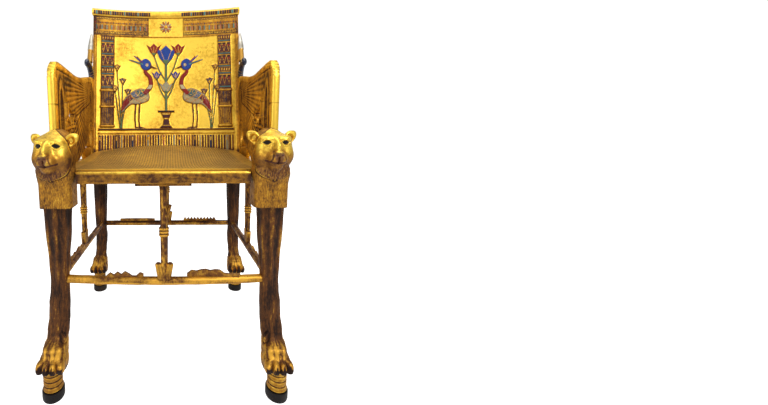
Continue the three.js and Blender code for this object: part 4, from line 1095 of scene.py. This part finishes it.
def drawBird(s, side):  # a crested wading bird facing the middle
    def at(points):
        return [(side * a, b) for a, b in points]

    for a in (94, 108):
        s.inlaid(s.line(at([(a, 186), (a + 3, 132), (a, 98)]), 3.4, 2.4), palette["brown"], 0.7, 2.5)
        s.inlaid(s.line(at([(a, 100), (a - 18, 96)]), 2.6, 1.6), palette["brown"], 0.6, 2.2)
    body = s.shape(curved(at([(62, 196), (92, 182), (126, 178), (158, 150), (152, 192), (124, 224),
                              (90, 238), (64, 226)]), 70, True))
    s.inlaid(body, palette["linen"], 0.9, 6)
    a, b = side * s.u, s.v
    row = np.floor((b - 0.5 * a) / 6.5)  # rows of scallops over the breast
    scallop = np.hypot((a / 7.5 + 0.5 * (row % 2)) % 1 - 0.5, ((b - 0.5 * a) / 6.5) % 1 - 0.9)
    s.bare(np.where((body < -2) & (np.abs(scallop - 0.62) < 0.09), -1, 1), 0.3)
    s.inlaid(np.where((scallop < 0.34) & (row % 3 == 0), body + 2, 1), palette["salmon"], 0)
    wing = s.shape(curved(at([(68, 220), (90, 204), (118, 198), (146, 172), (140, 204), (112, 228),
                              (88, 236)]), 60, True))
    s.raised(wing, 8, 4)
    reach, turn = np.hypot(a - 62, b - 250), np.arctan2(250 - b, a - 62) * 26
    tier = np.searchsorted((34, 54, 72), reach)
    for k, names in enumerate((("green", "green"), ("turquoise", "deep"), ("blue", "turquoise"),
                               ("deep", "red"))):
        for j, name in enumerate(names):
            s.inlaid(np.where((tier == k) & (np.floor(turn) % 2 == j), wing, 1), palette[name], 1)
    s.bare(np.where((wing < -0.5) & (np.abs(turn % 1 - 0.5) > 0.4), -1, 1), 0.3)
    for edge in (34, 54, 72):
        s.bare(np.where((wing < -0.5) & (np.abs(reach - edge) < 1.1), -1, 1), 0.4)
    tail = s.shape(at([(128, 186), (160, 150), (154, 188), (138, 204)]))
    s.inlaid(np.maximum(tail, body + 1), palette["red"], 0.8)
    neck = s.line(curved(at([(74, 222), (56, 246), (58, 276), (74, 296), (72, 316)]), 40), 8.5, 6)
    s.inlaid(neck, palette["red"], 0.9, 5)
    collar = np.maximum(neck + 1.5, s.box(*sorted((side * 40, side * 90)), 236, 250))
    s.inlaid(collar, palette["cream"], 0.2)
    head = s.shape(curved(at([(54, 314), (68, 302), (88, 310), (92, 332), (74, 346), (56, 334)]), 50, True))
    s.inlaid(head, palette["blue"], 0.9, 6)
    s.bare(np.abs(s.disc(side * 68, 322, 4.2)) - 0.9, 0.4)
    s.inlaid(s.disc(side * 68, 322, 3.4), palette["cream"], 0.2)
    s.inlaid(s.shape(at([(58, 312), (58, 324), (26, 306)])), palette["brown"], 0.8, 3.5)
    for k in range(4):  # crest plumes
        tip = (104 + 9 * k, 352 + 9 * (k % 2) - 7 * k)
        s.inlaid(s.line(at([(84, 330 - 2 * k), tip]), 3.0, 2.0),
                 palette[("red", "blue", "brown", "turquoise")[k]], 0.6, 3)


def drawReeds(s, side):  # a clump of papyrus behind each bird
    for k, (x, top, lean) in enumerate(((150, 252, 4), (166, 300, 8), (140, 214, -4), (174, 226, 6))):
        foot, tip = (side * (156 + 2 * k), 98), (side * (x + lean), top)
        s.inlaid(s.line([foot, tip], 2.2, 1.8), palette["green"], 0.5, 2.5)
        x = x + lean
        fan = [(side * (x + a), top + b) for a, b in ((0, -6), (13, 18), (0, 23), (-13, 18))]
        gap = s.shape(fan)
        s.inlaid(gap, palette["brown" if k % 2 else "deep"], 0.8, 4)
        for p in (-8, -3, 3, 8):
            ray = s.line([(side * x, top), (side * (x + p), top + 22)], 0.6)
            s.bare(np.maximum(ray, gap + 0.5), 0.3)


def drawBouquet(s):  # a tall bunch of lotus on a waisted stand
    stand = s.shape([(-24, 96), (24, 96), (13, 108), (9, 128), (20, 152), (-20, 152), (-9, 128), (-13, 108)])
    s.inlaid(stand, palette["maroon"], 1.0, 5)
    for t in (106, 130, 146):
        s.bare(np.maximum(s.box(-24, 24, t - 1.5, t + 1.5), stand + 0.5), 0.4)
    s.inlaid(s.box(-30, 30, 152, 159), palette["dusk"], 0.8, 5)
    s.inlaid(s.box(-4.5, 4.5, 158, 330), palette["green"], 0.9, 3.5)
    for side in (-1, 1):
        for rise, reach, low in ((352, 44, 262), (268, 34, 196)):
            line = curved([(0, low), (side * reach * 0.55, mixed(0.45, low, rise)),
                           (side * reach, rise + 6)], 30)
            s.inlaid(s.line(line, 3.0, 2.6), palette["green"], 0.7, 3)
    flowers = ((0, 318, 1.25, "blue"), (-44, 352, 0.8, "red"), (44, 352, 0.8, "red"),
               (0, 214, 0.8, "linen"), (-34, 266, 0.55, "blue"), (34, 266, 0.55, "blue"))
    for x, t, size, name in flowers:
        gap = s.shape(flowerOutline(x, t, size))
        s.inlaid(gap, palette[name], 0.9, 5)
        for side in (-1, 0, 1):
            vein = s.line([(x, t + 4), (x + side * 15 * size, t + 44 * size)], 0.8)
            s.bare(np.maximum(vein, gap + 1), 0.3)
        cup = s.disc(x, t + 9 * size, 15 * size, 10 * size)
        s.inlaid(np.maximum(cup, gap + 1), palette["green"], 0.6)
    for k in range(12):  # a rosette over the bunch
        c, d = math.cos(k * np.pi / 6), math.sin(k * np.pi / 6)
        petal = s.line([(9 * c, 462 + 9 * d), (19 * c, 462 + 19 * d)], 3.4)
        s.inlaid(petal, palette["cream" if k % 2 else "salmon"], 0.7, 4)
    s.raised(s.disc(0, 462, 8), 6, 5, 0.9)


def panelNet(across, up):  # points across and up the back
    return np.meshgrid(np.linspace(-back["half"], back["half"], across),
                       np.linspace(0, back["top"] - sill, up), indexing="ij")


def panelSkin(u, v, behind):  # the leaning, bowed surface, so far behind the front face
    return np.stack([u, panelFront(sill + v) + bow(u) + behind, sill + v], -1)


def addPanel(look):  # the inlaid front half of the back
    u, v = panelNet(look["across"], look["up"])
    s = Sheet(u, v)
    s.pit += 0.85 + 0.5 * (noiseAt(u / 60 + 9, v / 60 + 9, 61) - 0.5)
    for side in (-1, 1):
        s.raised(s.box(*sorted((side * 243, side * 254)), 4, look["friezeTop"] + 4), 4, 3, 0.5)
        s.strokes(*sorted((side * 176, side * 108)), 352, 422, 11, 63 + side, 1.1)
        drawColumn(s, side, look)
        drawReeds(s, side)
        drawBird(s, side)
    s.raised(s.box(-232, 232, look["friezeLow"] - 8, look["friezeLow"] - 3), 3, 2, 0.4)
    drawBouquet(s)
    drawDado(s, look)
    drawFrieze(s, look)
    s.pit -= 0.9 * smooth((34 - v) / 20)  # painted shade along the foot, where the back meets the seat
    s.pit -= 0.45 * smooth((np.abs(u) - 226) / 22)  # darker up the sides
    rear = panelSkin(u, v, back["thick"] / 2 - 0.1)
    addPiece("back_panel", [board(panelSkin(u, v, -s.lift), rear, s)], "inlaid", crease=80)


def addPanelRear(look):  # the gilded rear half: a thicket in each bay under a reeded band
    u, v = panelNet(look["rearAcross"], look["rearUp"])
    s = Sheet(u, v)
    for middle in (-look["bay"], look["bay"]):
        for k in range(look["reeds"]):
            x = middle - 96 + 192 * (k + 0.5) / look["reeds"]
            s.raised(s.box(x - 2.2, x + 2.2, 352, 388), 2.4, 1.6, 0.3)
        s.raised(s.box(middle - 99, middle + 99, 344, 349), 2, 2, 0.3)
        pick = np.random.default_rng(265 + middle)
        for k in range(-3, 4):
            x, lean = middle + k * 25, pick.uniform(-8, 8)
            top = 300 + 30 * (k % 2) + pick.uniform(-8, 8)
            s.raised(s.line([(x, 40), (x + lean * 0.4, 200), (x + lean, top)], 2.6, 1.6), 2.2, 1.6, 0.2)
            s.raised(s.shape(flowerOutline(x + lean, top - 8, 0.34)), 2.8, 2, 0.35)
    inner = panelSkin(u, v, back["thick"] / 2 + 0.1)
    outer = panelSkin(u, v, back["thick"] + s.lift)
    addPiece("back_panel", [board(outer, inner, s)], "gilding", 80, "_rear")


addPanel(panel)
addPanelRear(panel)
print("back panel made")

stiles = {"front": 186, "rear": 210, "lean": 12, "top": 914.7, "width": 34, "centreHalf": 18, "strokes": 11}


def addStiles(look):  # uprights behind the panel, with edge beads and rows of strokes
    def shell(x0, x1, seed):
        u, v = np.meshgrid(np.linspace(x0, x1, 22), np.linspace(0, look["top"] - sill, 210), indexing="ij")
        s = Sheet(u, v)
        s.raised(s.box(x0 + 1, x0 + 4.5, 2, 397), 1.4, 1.2, 0.4)
        s.raised(s.box(x1 - 4.5, x1 - 1, 2, 397), 1.4, 1.2, 0.4)
        s.strokes(x0 + 5, x1 - 5, 10, 388, look["strokes"], seed)
        z = sill + v
        rear = np.stack([u, look["rear"] + look["lean"] * (z - seatTop) / back["run"] + bow(u) + s.lift
                         - 1.4, z], -1)
        near = np.maximum(look["front"], panelFront(z) + back["thick"] + joint + 0.2)
        return board(rear, np.stack([u, near + bow(u), z], -1), s)

    addPair("stile", [shell(back["half"] - look["width"], back["half"], 71)], "gilding", 80)
    addPiece("stile_centre", [shell(-look["centreHalf"], look["centreHalf"], 73)], "gilding", crease=80)


addStiles(stiles)

frieze = {"bottom": 915, "top": 1012 - joint, "band": 32, "rear": 224, "reeds": 23, "half": 256}


def addFrieze(look):  # beads under a row of tapering reeds with knobs, on the rear of the back
    top = look["top"] - look["bottom"]
    u, v = np.meshgrid(np.linspace(-look["half"], look["half"], 400), np.linspace(0, top, 86), indexing="ij")
    s = Sheet(u, v)
    s.raised(s.box(-256, 256, 0, 5), 2.5, 2, 0.3)
    s.raised(s.box(-256, 256, look["band"] - 5, look["band"]), 2.5, 2, 0.3)
    pitch = 2 * look["half"] / look["reeds"]
    for k in range(look["reeds"]):
        x = -look["half"] + (k + 0.5) * pitch
        low = look["band"] + 2
        s.raised(s.disc(x, 16, pitch * 0.36, 9.5), 5, 6, 0.7)  # beads
        s.raised(s.shape([(x - 7.5, low), (x + 7.5, low), (x + 3, low + 42), (x - 3, low + 42)]), 3.2, 3, 0.3)
        s.cut(s.line([(x, low + 4), (x, low + 38)], 0.9), 0.9, 0.8, 0.5)
        s.raised(s.disc(x, low + 48, 4.6, 6), 4.5, 4, 0.9)  # knob
        for side in (-1, 1):
            s.raised(s.line([(x, low + 54), (x + side * 4.5, low + 60)], 1.5), 2.4, 1.4, 0.4)
    z = look["bottom"] + v
    rear = np.stack([u, look["rear"] + bow(u) + s.lift - 1.5, z], -1)
    near = np.stack([u, panelFront(z) + back["thick"] + joint + 0.2 + bow(u), z], -1)
    addPiece("back_frieze", [board(rear, near, s)], "gilding", crease=80)


addFrieze(frieze)

topRail = {"half": 260, "front": 183, "rear": 232, "bottom": 1012, "top": 1040, "block": 8}


def addTopRail(look):  # a rounded outline carried along the bow, with blocks of inlay on the front
    y0, y1, z0, z1 = look["front"], look["rear"], look["bottom"], look["top"]
    profile = np.array(curved([(y0 + 3, z0), (y0, z0 + 9), (y0 + 3, z0 + 19), (y0 + 12, z1 - 2),
                               ((y0 + y1) / 2, z1), (y1 - 12, z1 - 2), (y1 - 3, z0 + 19), (y1, z0 + 9),
                               (y1 - 3, z0)], 48))
    x = np.concatenate([[-look["half"]], np.linspace(-look["half"] + 0.6, look["half"] - 0.6, 400),
                        [look["half"]]])
    shrink = np.where(np.abs(x) > look["half"] - 0.3, 0.93, 1.0)
    middle = np.array([(y0 + y1) / 2, (z0 + z1) / 2])
    p = middle + (profile[None] - middle) * shrink[:, None, None]
    rings = np.stack([np.broadcast_to(x[:, None], p.shape[:2]), p[..., 0] + bow(x)[:, None], p[..., 1]], -1)
    height = profile[None, :, 1] - z0
    onFront = (profile[None, :, 0] < y0 + 9) & (height > 4.5) & (height < 17.5)
    cell = np.floor(x / look["block"]).astype(int)[:, None]
    seam = np.abs((x / look["block"]) % 1 - 0.5)[:, None] < 0.36
    ends = (np.abs(x) > panel["middleHalf"] - 6)[:, None] & (np.abs(x) < 254)[:, None]
    inlay = (onFront & seam & ends).astype(float)
    shades = np.array([palette[n][:3] for n in ("dusk", "deep", "dusk", "maroon", "dusk", "turquoise")])
    paint = np.broadcast_to(shades[cell % 6], (*rings.shape[:2], 3))
    pit = np.where(onFront & ends, -0.4, 0.45) + 0.0 * x[:, None]
    addPiece("top_rail", [tube(rings, pit.ravel(), paint.reshape(-1, 3), inlay.ravel())], "inlaid")


addTopRail(topRail)
print("back made")

arms = {"frontY": -222, "middle": 255, "web": 6, "rim": 9, "step": 1.9, "neckTop": 265.7,
        "rear": 318.3, "lean": 0.179}
upperFan = {"centre": (352, 212), "low": -0.1, "high": 0.72}  # where a wing's feathers spread from
lowerFan = {"centre": (374, 266), "low": 0.55, "high": 1.26}
topLine = [(10, 150), (9, 205), (12, 226), (26, 237), (52, 238), (105, 234), (165, 230), (225, 236),
           (280, 248), (322, 256)]
upperWing = [(62, 226), (160, 228), (250, 242), (322, 250), (330, 205), (300, 178), (250, 160),
             (200, 143), (150, 130), (112, 138), (86, 162), (66, 204)]
lowerWing = [(322, 240), (352, 215), (338, 150), (298, 86), (235, 38), (165, 3), (126, 3), (80, 22),
             (60, 30), (60, 42), (112, 84), (178, 132), (240, 157), (300, 182)]
armRings = [(92, 96, 21, 27, 12, 17), (140, 104, 17, 22, 9, 13), (298, 74, 30, 46, 18, 33)]


def fanShare(s, fan):  # 0 to 1 across the fan
    turn = np.arctan2(fan["centre"][1] - s.v, fan["centre"][0] - s.u)
    return (turn - fan["low"]) / (fan["high"] - fan["low"])


# Feathers fan out from a point: the angle picks the feather, the distance picks the row.
def drawWing(s, gap, fan, count, rows, colours):
    reach = np.hypot(s.u - fan["centre"][0], s.v - fan["centre"][1])
    share = fanShare(s, fan) * count
    inside = gap < -1.5
    shaft = np.abs(share % 1 - 0.5) * 2  # 0 on a feather's middle, 1 between feathers
    spread = reach * (fan["high"] - fan["low"]) / count  # width of a feather here
    seam = (1 - shaft) * spread / 2
    index = np.floor(share).astype(int)
    band = np.searchsorted(rows, reach)
    for k, names in enumerate(colours):
        for j, name in enumerate(names):
            here = inside & (band == k) & (index % len(names) == j) & (seam > 0.75)
            s.inlay[here] = 1
            s.paint[here] = palette[name][:3]
    for edge in rows:
        s.bare(np.where(inside, np.abs(reach - edge) - 1.6, 1), 0.4)
    s.lift = s.lift + inside * (0.9 * np.exp(-(seam / 0.9) ** 2))
    s.pit = s.pit + inside * (0.5 * np.exp(-(seam / 0.9) ** 2) - 0.25)


def armGaps(a, b):  # the solid parts of the openwork, by name
    gaps = {"band": lineGap(a, b, curved(topLine, 60), 8.5), "post": boxGap(a, b, 0, 22, 0, 208),
            "column": boxGap(a, b, 18, 68, 0, 228), "base": boxGap(a, b, 26, 62, 0, 26),
            "upper": shapeGap(a, b, curved(upperWing, 90, True)),
            "lower": shapeGap(a, b, curved(lowerWing, 110, True)),
            "basket": shapeGap(a, b, [(212, 34), (306, 34), (284, 0), (234, 0)])}
    ties = [lineGap(a, b, [(62, 89), (150, 101)], 5), lineGap(a, b, [(93, 116), (93, 156)], 5),
            lineGap(a, b, [(140, 120), (140, 138)], 4), lineGap(a, b, [(91, 46), (91, 76)], 5)]
    for p, q, ra, rb, ia, ib in armRings:
        ties.append(np.maximum(discGap(a, b, p, q, ra, rb), -discGap(a, b, p, q, ia, ib)))
    gaps["ties"] = np.minimum.reduce(ties)
    rear = 316 + arms["lean"] * b
    neck = np.interp(b, [0, 110, 248, arms["neckTop"]], [308, 325, 330, 340])
    gaps["snake"] = np.maximum(np.maximum(neck - a, a - rear - 40), b - arms["neckTop"])
    return gaps


def roundedEdge(gap, half):  # 1 inside, falling along a quarter circle to 0 at the outline
    return np.sqrt(np.clip(1 - (np.clip(gap + half, 0, half) / half) ** 2, 0, 1))


def armSheet(a, b, gaps, outer):  # one face's drawing, and the arm's half thickness there
    s = Sheet(a, b)
    s.pit -= 0.15 if outer else 0.4
    s.raised(gaps["upper"], 1.2, 2, -0.1)
    s.raised(gaps["lower"], 1.6, 2, -0.1)
    s.raised(gaps["ties"], 1.4, 4, 0.3)
    s.raised(gaps["snake"], 1.2, 4, 0.2)
    s.raised(gaps["basket"], 1.0, 2, 0.0)
    upper = np.where(gaps["lower"] < 0, 1, gaps["upper"])
    if outer:
        drawWing(s, upper, upperFan, 27, [62, 150],
                 [("salmon", "green"), ("turquoise", "green", "sea"), ("sea", "turquoise", "blue")])
        drawWing(s, gaps["lower"], lowerFan, 25, [92, 196],
                 [("salmon", "red", "green"), ("green", "turquoise"), ("sea", "turquoise", "blue")])
        hood = s.disc(318, 212, 13, 30)
        s.raised(hood, 3, 3, 0.4)
        s.inlaid(hood, palette["blue"], 2)
        cells = (np.floor(a / 8) + np.floor(b / 8)).astype(int) % 3
        for k, name in enumerate(("red", "cream", "green")):
            s.inlaid(np.where(cells == k, gaps["basket"], 1), palette[name], 1.2)
        seam = np.minimum(np.abs((a + 1) % 8 - 1), np.abs((b + 1) % 8 - 1)) - 0.8
        s.bare(np.where(gaps["basket"] < 0, seam, 1), 0.2)
    else:
        for gap, fan, count in ((upper, upperFan, 15), (gaps["lower"], lowerFan, 14)):
            groove = np.cos(fanShare(s, fan) * count * 2 * np.pi)
            s.lift += np.where(gap < -2, 0.6 * groove, 0)
            s.pit += np.where(gap < -2, 0.22 * groove - 0.15, 0)
    s.raised(gaps["column"], 0.8, 2, -0.1)
    border = np.abs(s.disc(44, 118, 15, 80.5)) - 3.4
    s.raised(border, 3, 2, 0.4)
    if outer:
        s.inlaid(s.disc(44, 118, 17.5, 83.5), palette["turquoise"], 0)
        s.bare(s.disc(44, 118, 12, 77), 0.1)
        s.inlaid(s.disc(44, 176, 7.5), palette["red"], 0.5, 2)
        blocks = ((142, 160, "blue"), (122, 136, "turquoise"), (98, 116, "green"), (76, 92, "blue"),
                  (54, 68, "salmon"))
        for k, (low, high, name) in enumerate(blocks):
            s.inlaid(s.box(36.5 + k % 2, 51.5 - k % 2, low, high), palette[name], 0.6, 1.6)
        for low, high, name in ((2, 8, "green"), (9, 15, "red"), (16, 24, "turquoise")):
            s.inlaid(s.box(28, 60, low, high), palette[name], 0.6, 2)
        for k in range(34):  # small blocks up the post
            spot = s.box(4, 17, 4 + 6 * k, 8.6 + 6 * k)
            s.inlaid(spot, palette[("red", "deep", "cream", "green")[k % 4]], 0.4)
    else:
        s.cut(s.disc(44, 118, 10, 74), 1.2, 4, 0.3)
        s.strokes(30, 58, 50, 190, 10, 81, 0.7)
    half = arms["web"] + np.clip(s.lift, -1.5, 4)
    half = np.where(gaps["base"] < 0, np.maximum(half, 7.6), half)
    post = 4.5 + 4.5 * roundedEdge(s.box(0, 22, -40, 300), 5)
    half = np.where(gaps["post"] < 0, np.maximum(half, post), half)
    half = np.where(gaps["band"] < 0, np.maximum(half, 4 + 5 * roundedEdge(gaps["band"], 8.5)), half)
    plain = (gaps["band"] < -1) & ((b > 206) | (a > 20))  # the band stays gold above the post
    s.inlay = np.where(plain, 0, s.inlay)
    s.pit = np.where(plain, 0.5 if outer else 0.25, s.pit)
    if not outer:
        s.pit = np.where((gaps["post"] < 1) & (a < 16), 0.5, s.pit)
        s.pit += 0.9 * (noiseAt(a / 16 + 4, b / 34 + 7, 83) - 0.55)
    s.pit = np.where(a < 4 + 0.02 * b, 1.0, s.pit)  # the front edge is painted bright: wear and a painted highlight
    s.pit -= 1.6 * np.exp(-(np.abs(b - 146) / 1.6) ** 2) * (gaps["post"] < 0)  # joint in the post
    return s, np.minimum(half, arms["rim"])


# A pierced plate: cells whose middle is solid are kept, edge points slide onto the outline, and walls
# join both faces.
def addArms(look):
    a, b = np.meshgrid(np.arange(-1.5, 372, look["step"]), np.arange(0, 269, look["step"]), indexing="ij")
    gaps = armGaps(a, b)
    rearLimit = look["rear"] + look["lean"] * b
    front = np.interp(b, [0, 205, 222, 240], [0, 0, 4, 18])
    solid = np.maximum.reduce([np.minimum.reduce(list(gaps.values())), a - rearLimit, front - a, -b])
    middle = (solid[:-1, :-1] + solid[1:, :-1] + solid[:-1, 1:] + solid[1:, 1:]) / 4
    keep = middle < 0
    index = np.arange(a.size).reshape(a.shape)
    quads = np.stack([index[:-1, :-1], index[1:, :-1], index[1:, 1:], index[:-1, 1:]], -1)[keep]
    padded = np.pad(keep, 1)
    edges = []
    for one, other, tail, head in ((padded[1:-1, :-1], padded[1:-1, 1:], index[:-1, :], index[1:, :]),
                                   (padded[:-1, 1:-1], padded[1:, 1:-1], index[:, 1:], index[:, :-1])):
        border = one != other
        ends = np.stack([tail[border], head[border]], -1)
        edges.append(np.where(other[border][:, None], ends, ends[:, ::-1]))
    edges = np.concatenate(edges)
    rim = np.zeros(a.size, bool)
    rim[edges.ravel()] = True
    du, dv = np.gradient(solid, look["step"])
    size = np.maximum(du ** 2 + dv ** 2, 0.3)
    slide = np.clip(solid, -1.1, 1.1) * rim.reshape(a.shape)
    pa, pb = a - slide * du / size, np.maximum(b - slide * dv / size, 0)
    outSheet, outHalf = armSheet(a, b, gaps, True)
    inSheet, inHalf = armSheet(a, b, gaps, False)
    y, z = look["frontY"] + pa, sill + pb
    points = np.concatenate([np.stack([look["middle"] + outHalf, y, z], -1).reshape(-1, 3),
                             np.stack([look["middle"] - inHalf, y, z], -1).reshape(-1, 3)])
    count = a.size
    side = np.stack([edges[:, 0], edges[:, 1], edges[:, 1] + count, edges[:, 0] + count], 1)
    faces = [quads, quads[:, ::-1] + count, side[:, ::-1]]
    used = np.unique(np.concatenate([f.ravel() for f in faces]))
    renumber = np.zeros(2 * count, int)
    renumber[used] = np.arange(len(used))
    pit = np.concatenate([outSheet.pit.ravel(), inSheet.pit.ravel()])[used]
    paint = np.concatenate([outSheet.paint.reshape(-1, 3), inSheet.paint.reshape(-1, 3)])[used]
    inlay = np.concatenate([outSheet.inlay.ravel(), 0 * inSheet.inlay.ravel()])[used]
    shell = Shell(points[used], [renumber[f] for f in faces], pit, paint, inlay)
    addPair("arm", [shell], "inlaid", 70)


addArms(arms)
print("arms made")

# Columns: height, half width, half depth, forward lean.
cobraRows = [[0, 19, 9, 0], [30, 18, 8, 0], [62, 23, 8, -1], [100, 29, 8.5, -1], [128, 30, 8.5, 0],
             [148, 22, 8, 2], [158, 14, 8.5, 4], [174, 18, 11, 5], [188, 9, 7, 3]]
cobras = {"tall": 188, "y": 173, "xs": (71, 174), "discR": 36, "discThick": 14, "sideScale": 0.64,
          "turns": 48}


def cobraShell(look, scale):  # a rearing snake: oval rings, the chest inlaid on the outer face
    h = np.linspace(0, look["tall"], 100)
    hw, hd, lean = readRows(cobraRows, h)
    count = look["turns"]
    rings = np.array([ovalRing(0, f, sill + k * scale, w * scale, d * (0.4 + 0.6 * scale), count, 2.3)
                      for k, w, d, f in zip(h, hw, hd, lean)])
    across = rings[..., 0] / (hw[:, None] * scale)
    rearward = rings[..., 1] - lean[:, None]
    tall = np.broadcast_to(h[:, None], across.shape)
    face = (rearward > 0) & (tall < 150)
    paint = np.zeros((*across.shape, 3))
    inlay = np.zeros(across.shape)
    spine = np.abs(across) < 0.2
    for low, high, name in ((2, 34, "green"), (36, 84, "red"), (86, 148, "deep")):
        here = face & (np.abs(across) > 0.26) & (np.abs(across) < 0.86) & (tall > low) & (tall < high)
        paint[here], inlay[here] = palette[name][:3], 1
    turquoise = face & (np.abs(across) > 0.62) & (np.abs(across) < 0.84) & (tall > 92) & (tall < 142)
    paint[turquoise] = palette["turquoise"][:3]
    for k in range(12):
        here = face & spine & (tall > 4 + 12 * k) & (tall < 13 + 12 * k)
        paint[here], inlay[here] = palette[("red", "green", "salmon")[k % 3]][:3], 1
    head = tall > 156
    paint[head], inlay[head] = tone(30, 62, 120)[:3], 1
    eye = head & (np.hypot((np.abs(across) - 0.72) * 18, tall - 176) < 2.4) & (rearward > 0)
    paint[eye] = tone(190, 150, 84)[:3]
    pit = 0.35 - 0.9 * ((inlay > 0) & ~head)
    return tube(rings, pit.ravel(), paint.reshape(-1, 3), inlay.ravel())


def addCobras(look):  # four with flat discs behind the back, two smaller ones beside it
    for place, x in zip(("inner", "outer"), look["xs"]):
        shell = cobraShell(look, 1).moved(lambda p: p + (x, look["y"] + bow(x), 0))
        addPair(f"rear_cobra_{place}", [shell], "inlaid")
        t = np.linspace(0.002, np.pi - 0.002, 40)
        turn = roundTurns(64)
        r = look["discR"] * np.abs(np.sin(t)) ** 0.75
        depth = look["discThick"] / 2 * np.cos(t)
        rings = np.stack([x + r[:, None] * np.cos(turn), look["y"] + 4.5 + bow(x) + depth[:, None] + 0 * turn,
                          sill + look["tall"] + joint + look["discR"] + r[:, None] * np.sin(turn)], -1)
        addPair(f"rear_disc_{place}", [tube(rings, 0.6)], "gilding")

    def beside(p, x=241):  # turned to look outward and leaned with the back
        return np.stack([x + p[:, 1], 161 + 0.1 * (p[:, 2] - sill) - p[:, 0], p[:, 2]], 1)

    addPair("side_cobra", [cobraShell(look, look["sideScale"]).moved(beside)], "inlaid")
    foot = sill + look["tall"] * look["sideScale"] + joint
    z = np.linspace(0, 65, 60)
    r = np.interp(z, [0, 12, 26, 46, 56, 62, 65], [6, 7.5, 8, 6, 3, 4, 1])
    rings = np.array([ovalRing(0, -3, foot + h, k, k, 40) for h, k in zip(z, r)])
    addPair("side_crown", [tube(rings, 0.2).moved(lambda p: beside(p, 247))], "silver")


addCobras(cobras)

# Columns: distance back, up from the arm, half width, half height of the neck and head.
snakeRows = [[133, -4, 9, 12], [131, 12, 9, 14], [122, 28, 9, 15.5], [106, 39, 9, 15.5], [88, 42, 8.5, 14],
             [73, 38, 7, 9]]
crowns = {"x": 255, "foot": (117, 50), "tilt": 0.36, "goldTop": 44}


def addArmCobras(look):  # a head rearing off each arm: ovals along a curve, then a turned crown
    headFoot = sill + arms["neckTop"] + joint
    rows = np.array(snakeRows, float)
    share = np.linspace(0, 1, 60)
    line = np.array([np.array(curved(rows[:, [k, k]], 60))[:, 0] for k in range(4)])
    lean = 1.45 - share * 1.6
    w = roundTurns(40)
    size = np.clip(1 - smooth((share - 0.9) / 0.12) * 0.6, 0, 1)
    y = line[0][:, None] + (line[3] * size)[:, None] * np.sin(w) * np.sin(lean)[:, None]
    z = headFoot + line[1][:, None] + (line[3] * size)[:, None] * np.sin(w) * np.cos(lean)[:, None]
    x = look["x"] + (line[2] * size)[:, None] * np.cos(w)
    z = np.maximum(z, headFoot)
    along = np.broadcast_to(share[:, None], x.shape)
    eye = (np.abs(along - 0.82) < 0.035) & (np.abs(np.abs(np.cos(w)) - 0.93) < 0.1) & (np.sin(w) > -0.1)
    stripe = (np.abs(along * 9 % 1 - 0.5) > 0.42) & (along < 0.35)
    paint = np.where(eye[..., None], tone(214, 196, 150)[:3], tone(150, 112, 52)[:3])
    inlay = (eye | stripe).astype(float)
    shell = tube(np.stack([x, y, z], -1), 0.0, paint.reshape(-1, 3), inlay.ravel())
    addPair("cobra_head", [shell], "glaze")
    h = np.linspace(0, 110, 80)
    r = np.interp(h, [0, 42, 46, 60, 82, 100, 108, 110], [9, 8.4, 9.6, 9.4, 7, 4.4, 3, 0.6])
    r = r + 0.5 * np.exp(-((h - 44) / 1.5) ** 2) + 0.5 * np.exp(-((h - 3) / 2) ** 2)
    rings = np.array([ovalRing(0, 0, k, q, q, 32) for k, q in zip(h, r)])
    c, s = math.cos(look["tilt"]), math.sin(look["tilt"])
    footBack, footUp = look["foot"]
    gold = np.repeat((h < look["goldTop"]).astype(float), 32)
    shell = tube(rings, 0.2, tone(196, 146, 60)[:3], gold)
    shell = shell.moved(lambda p: np.stack([look["x"] + p[:, 0], footBack + p[:, 1] * c + p[:, 2] * s,
                                            headFoot + footUp - p[:, 1] * s + p[:, 2] * c], 1))
    addPair("crown", [shell], "silver")


addArmCobras(crowns)
print("cobras made")
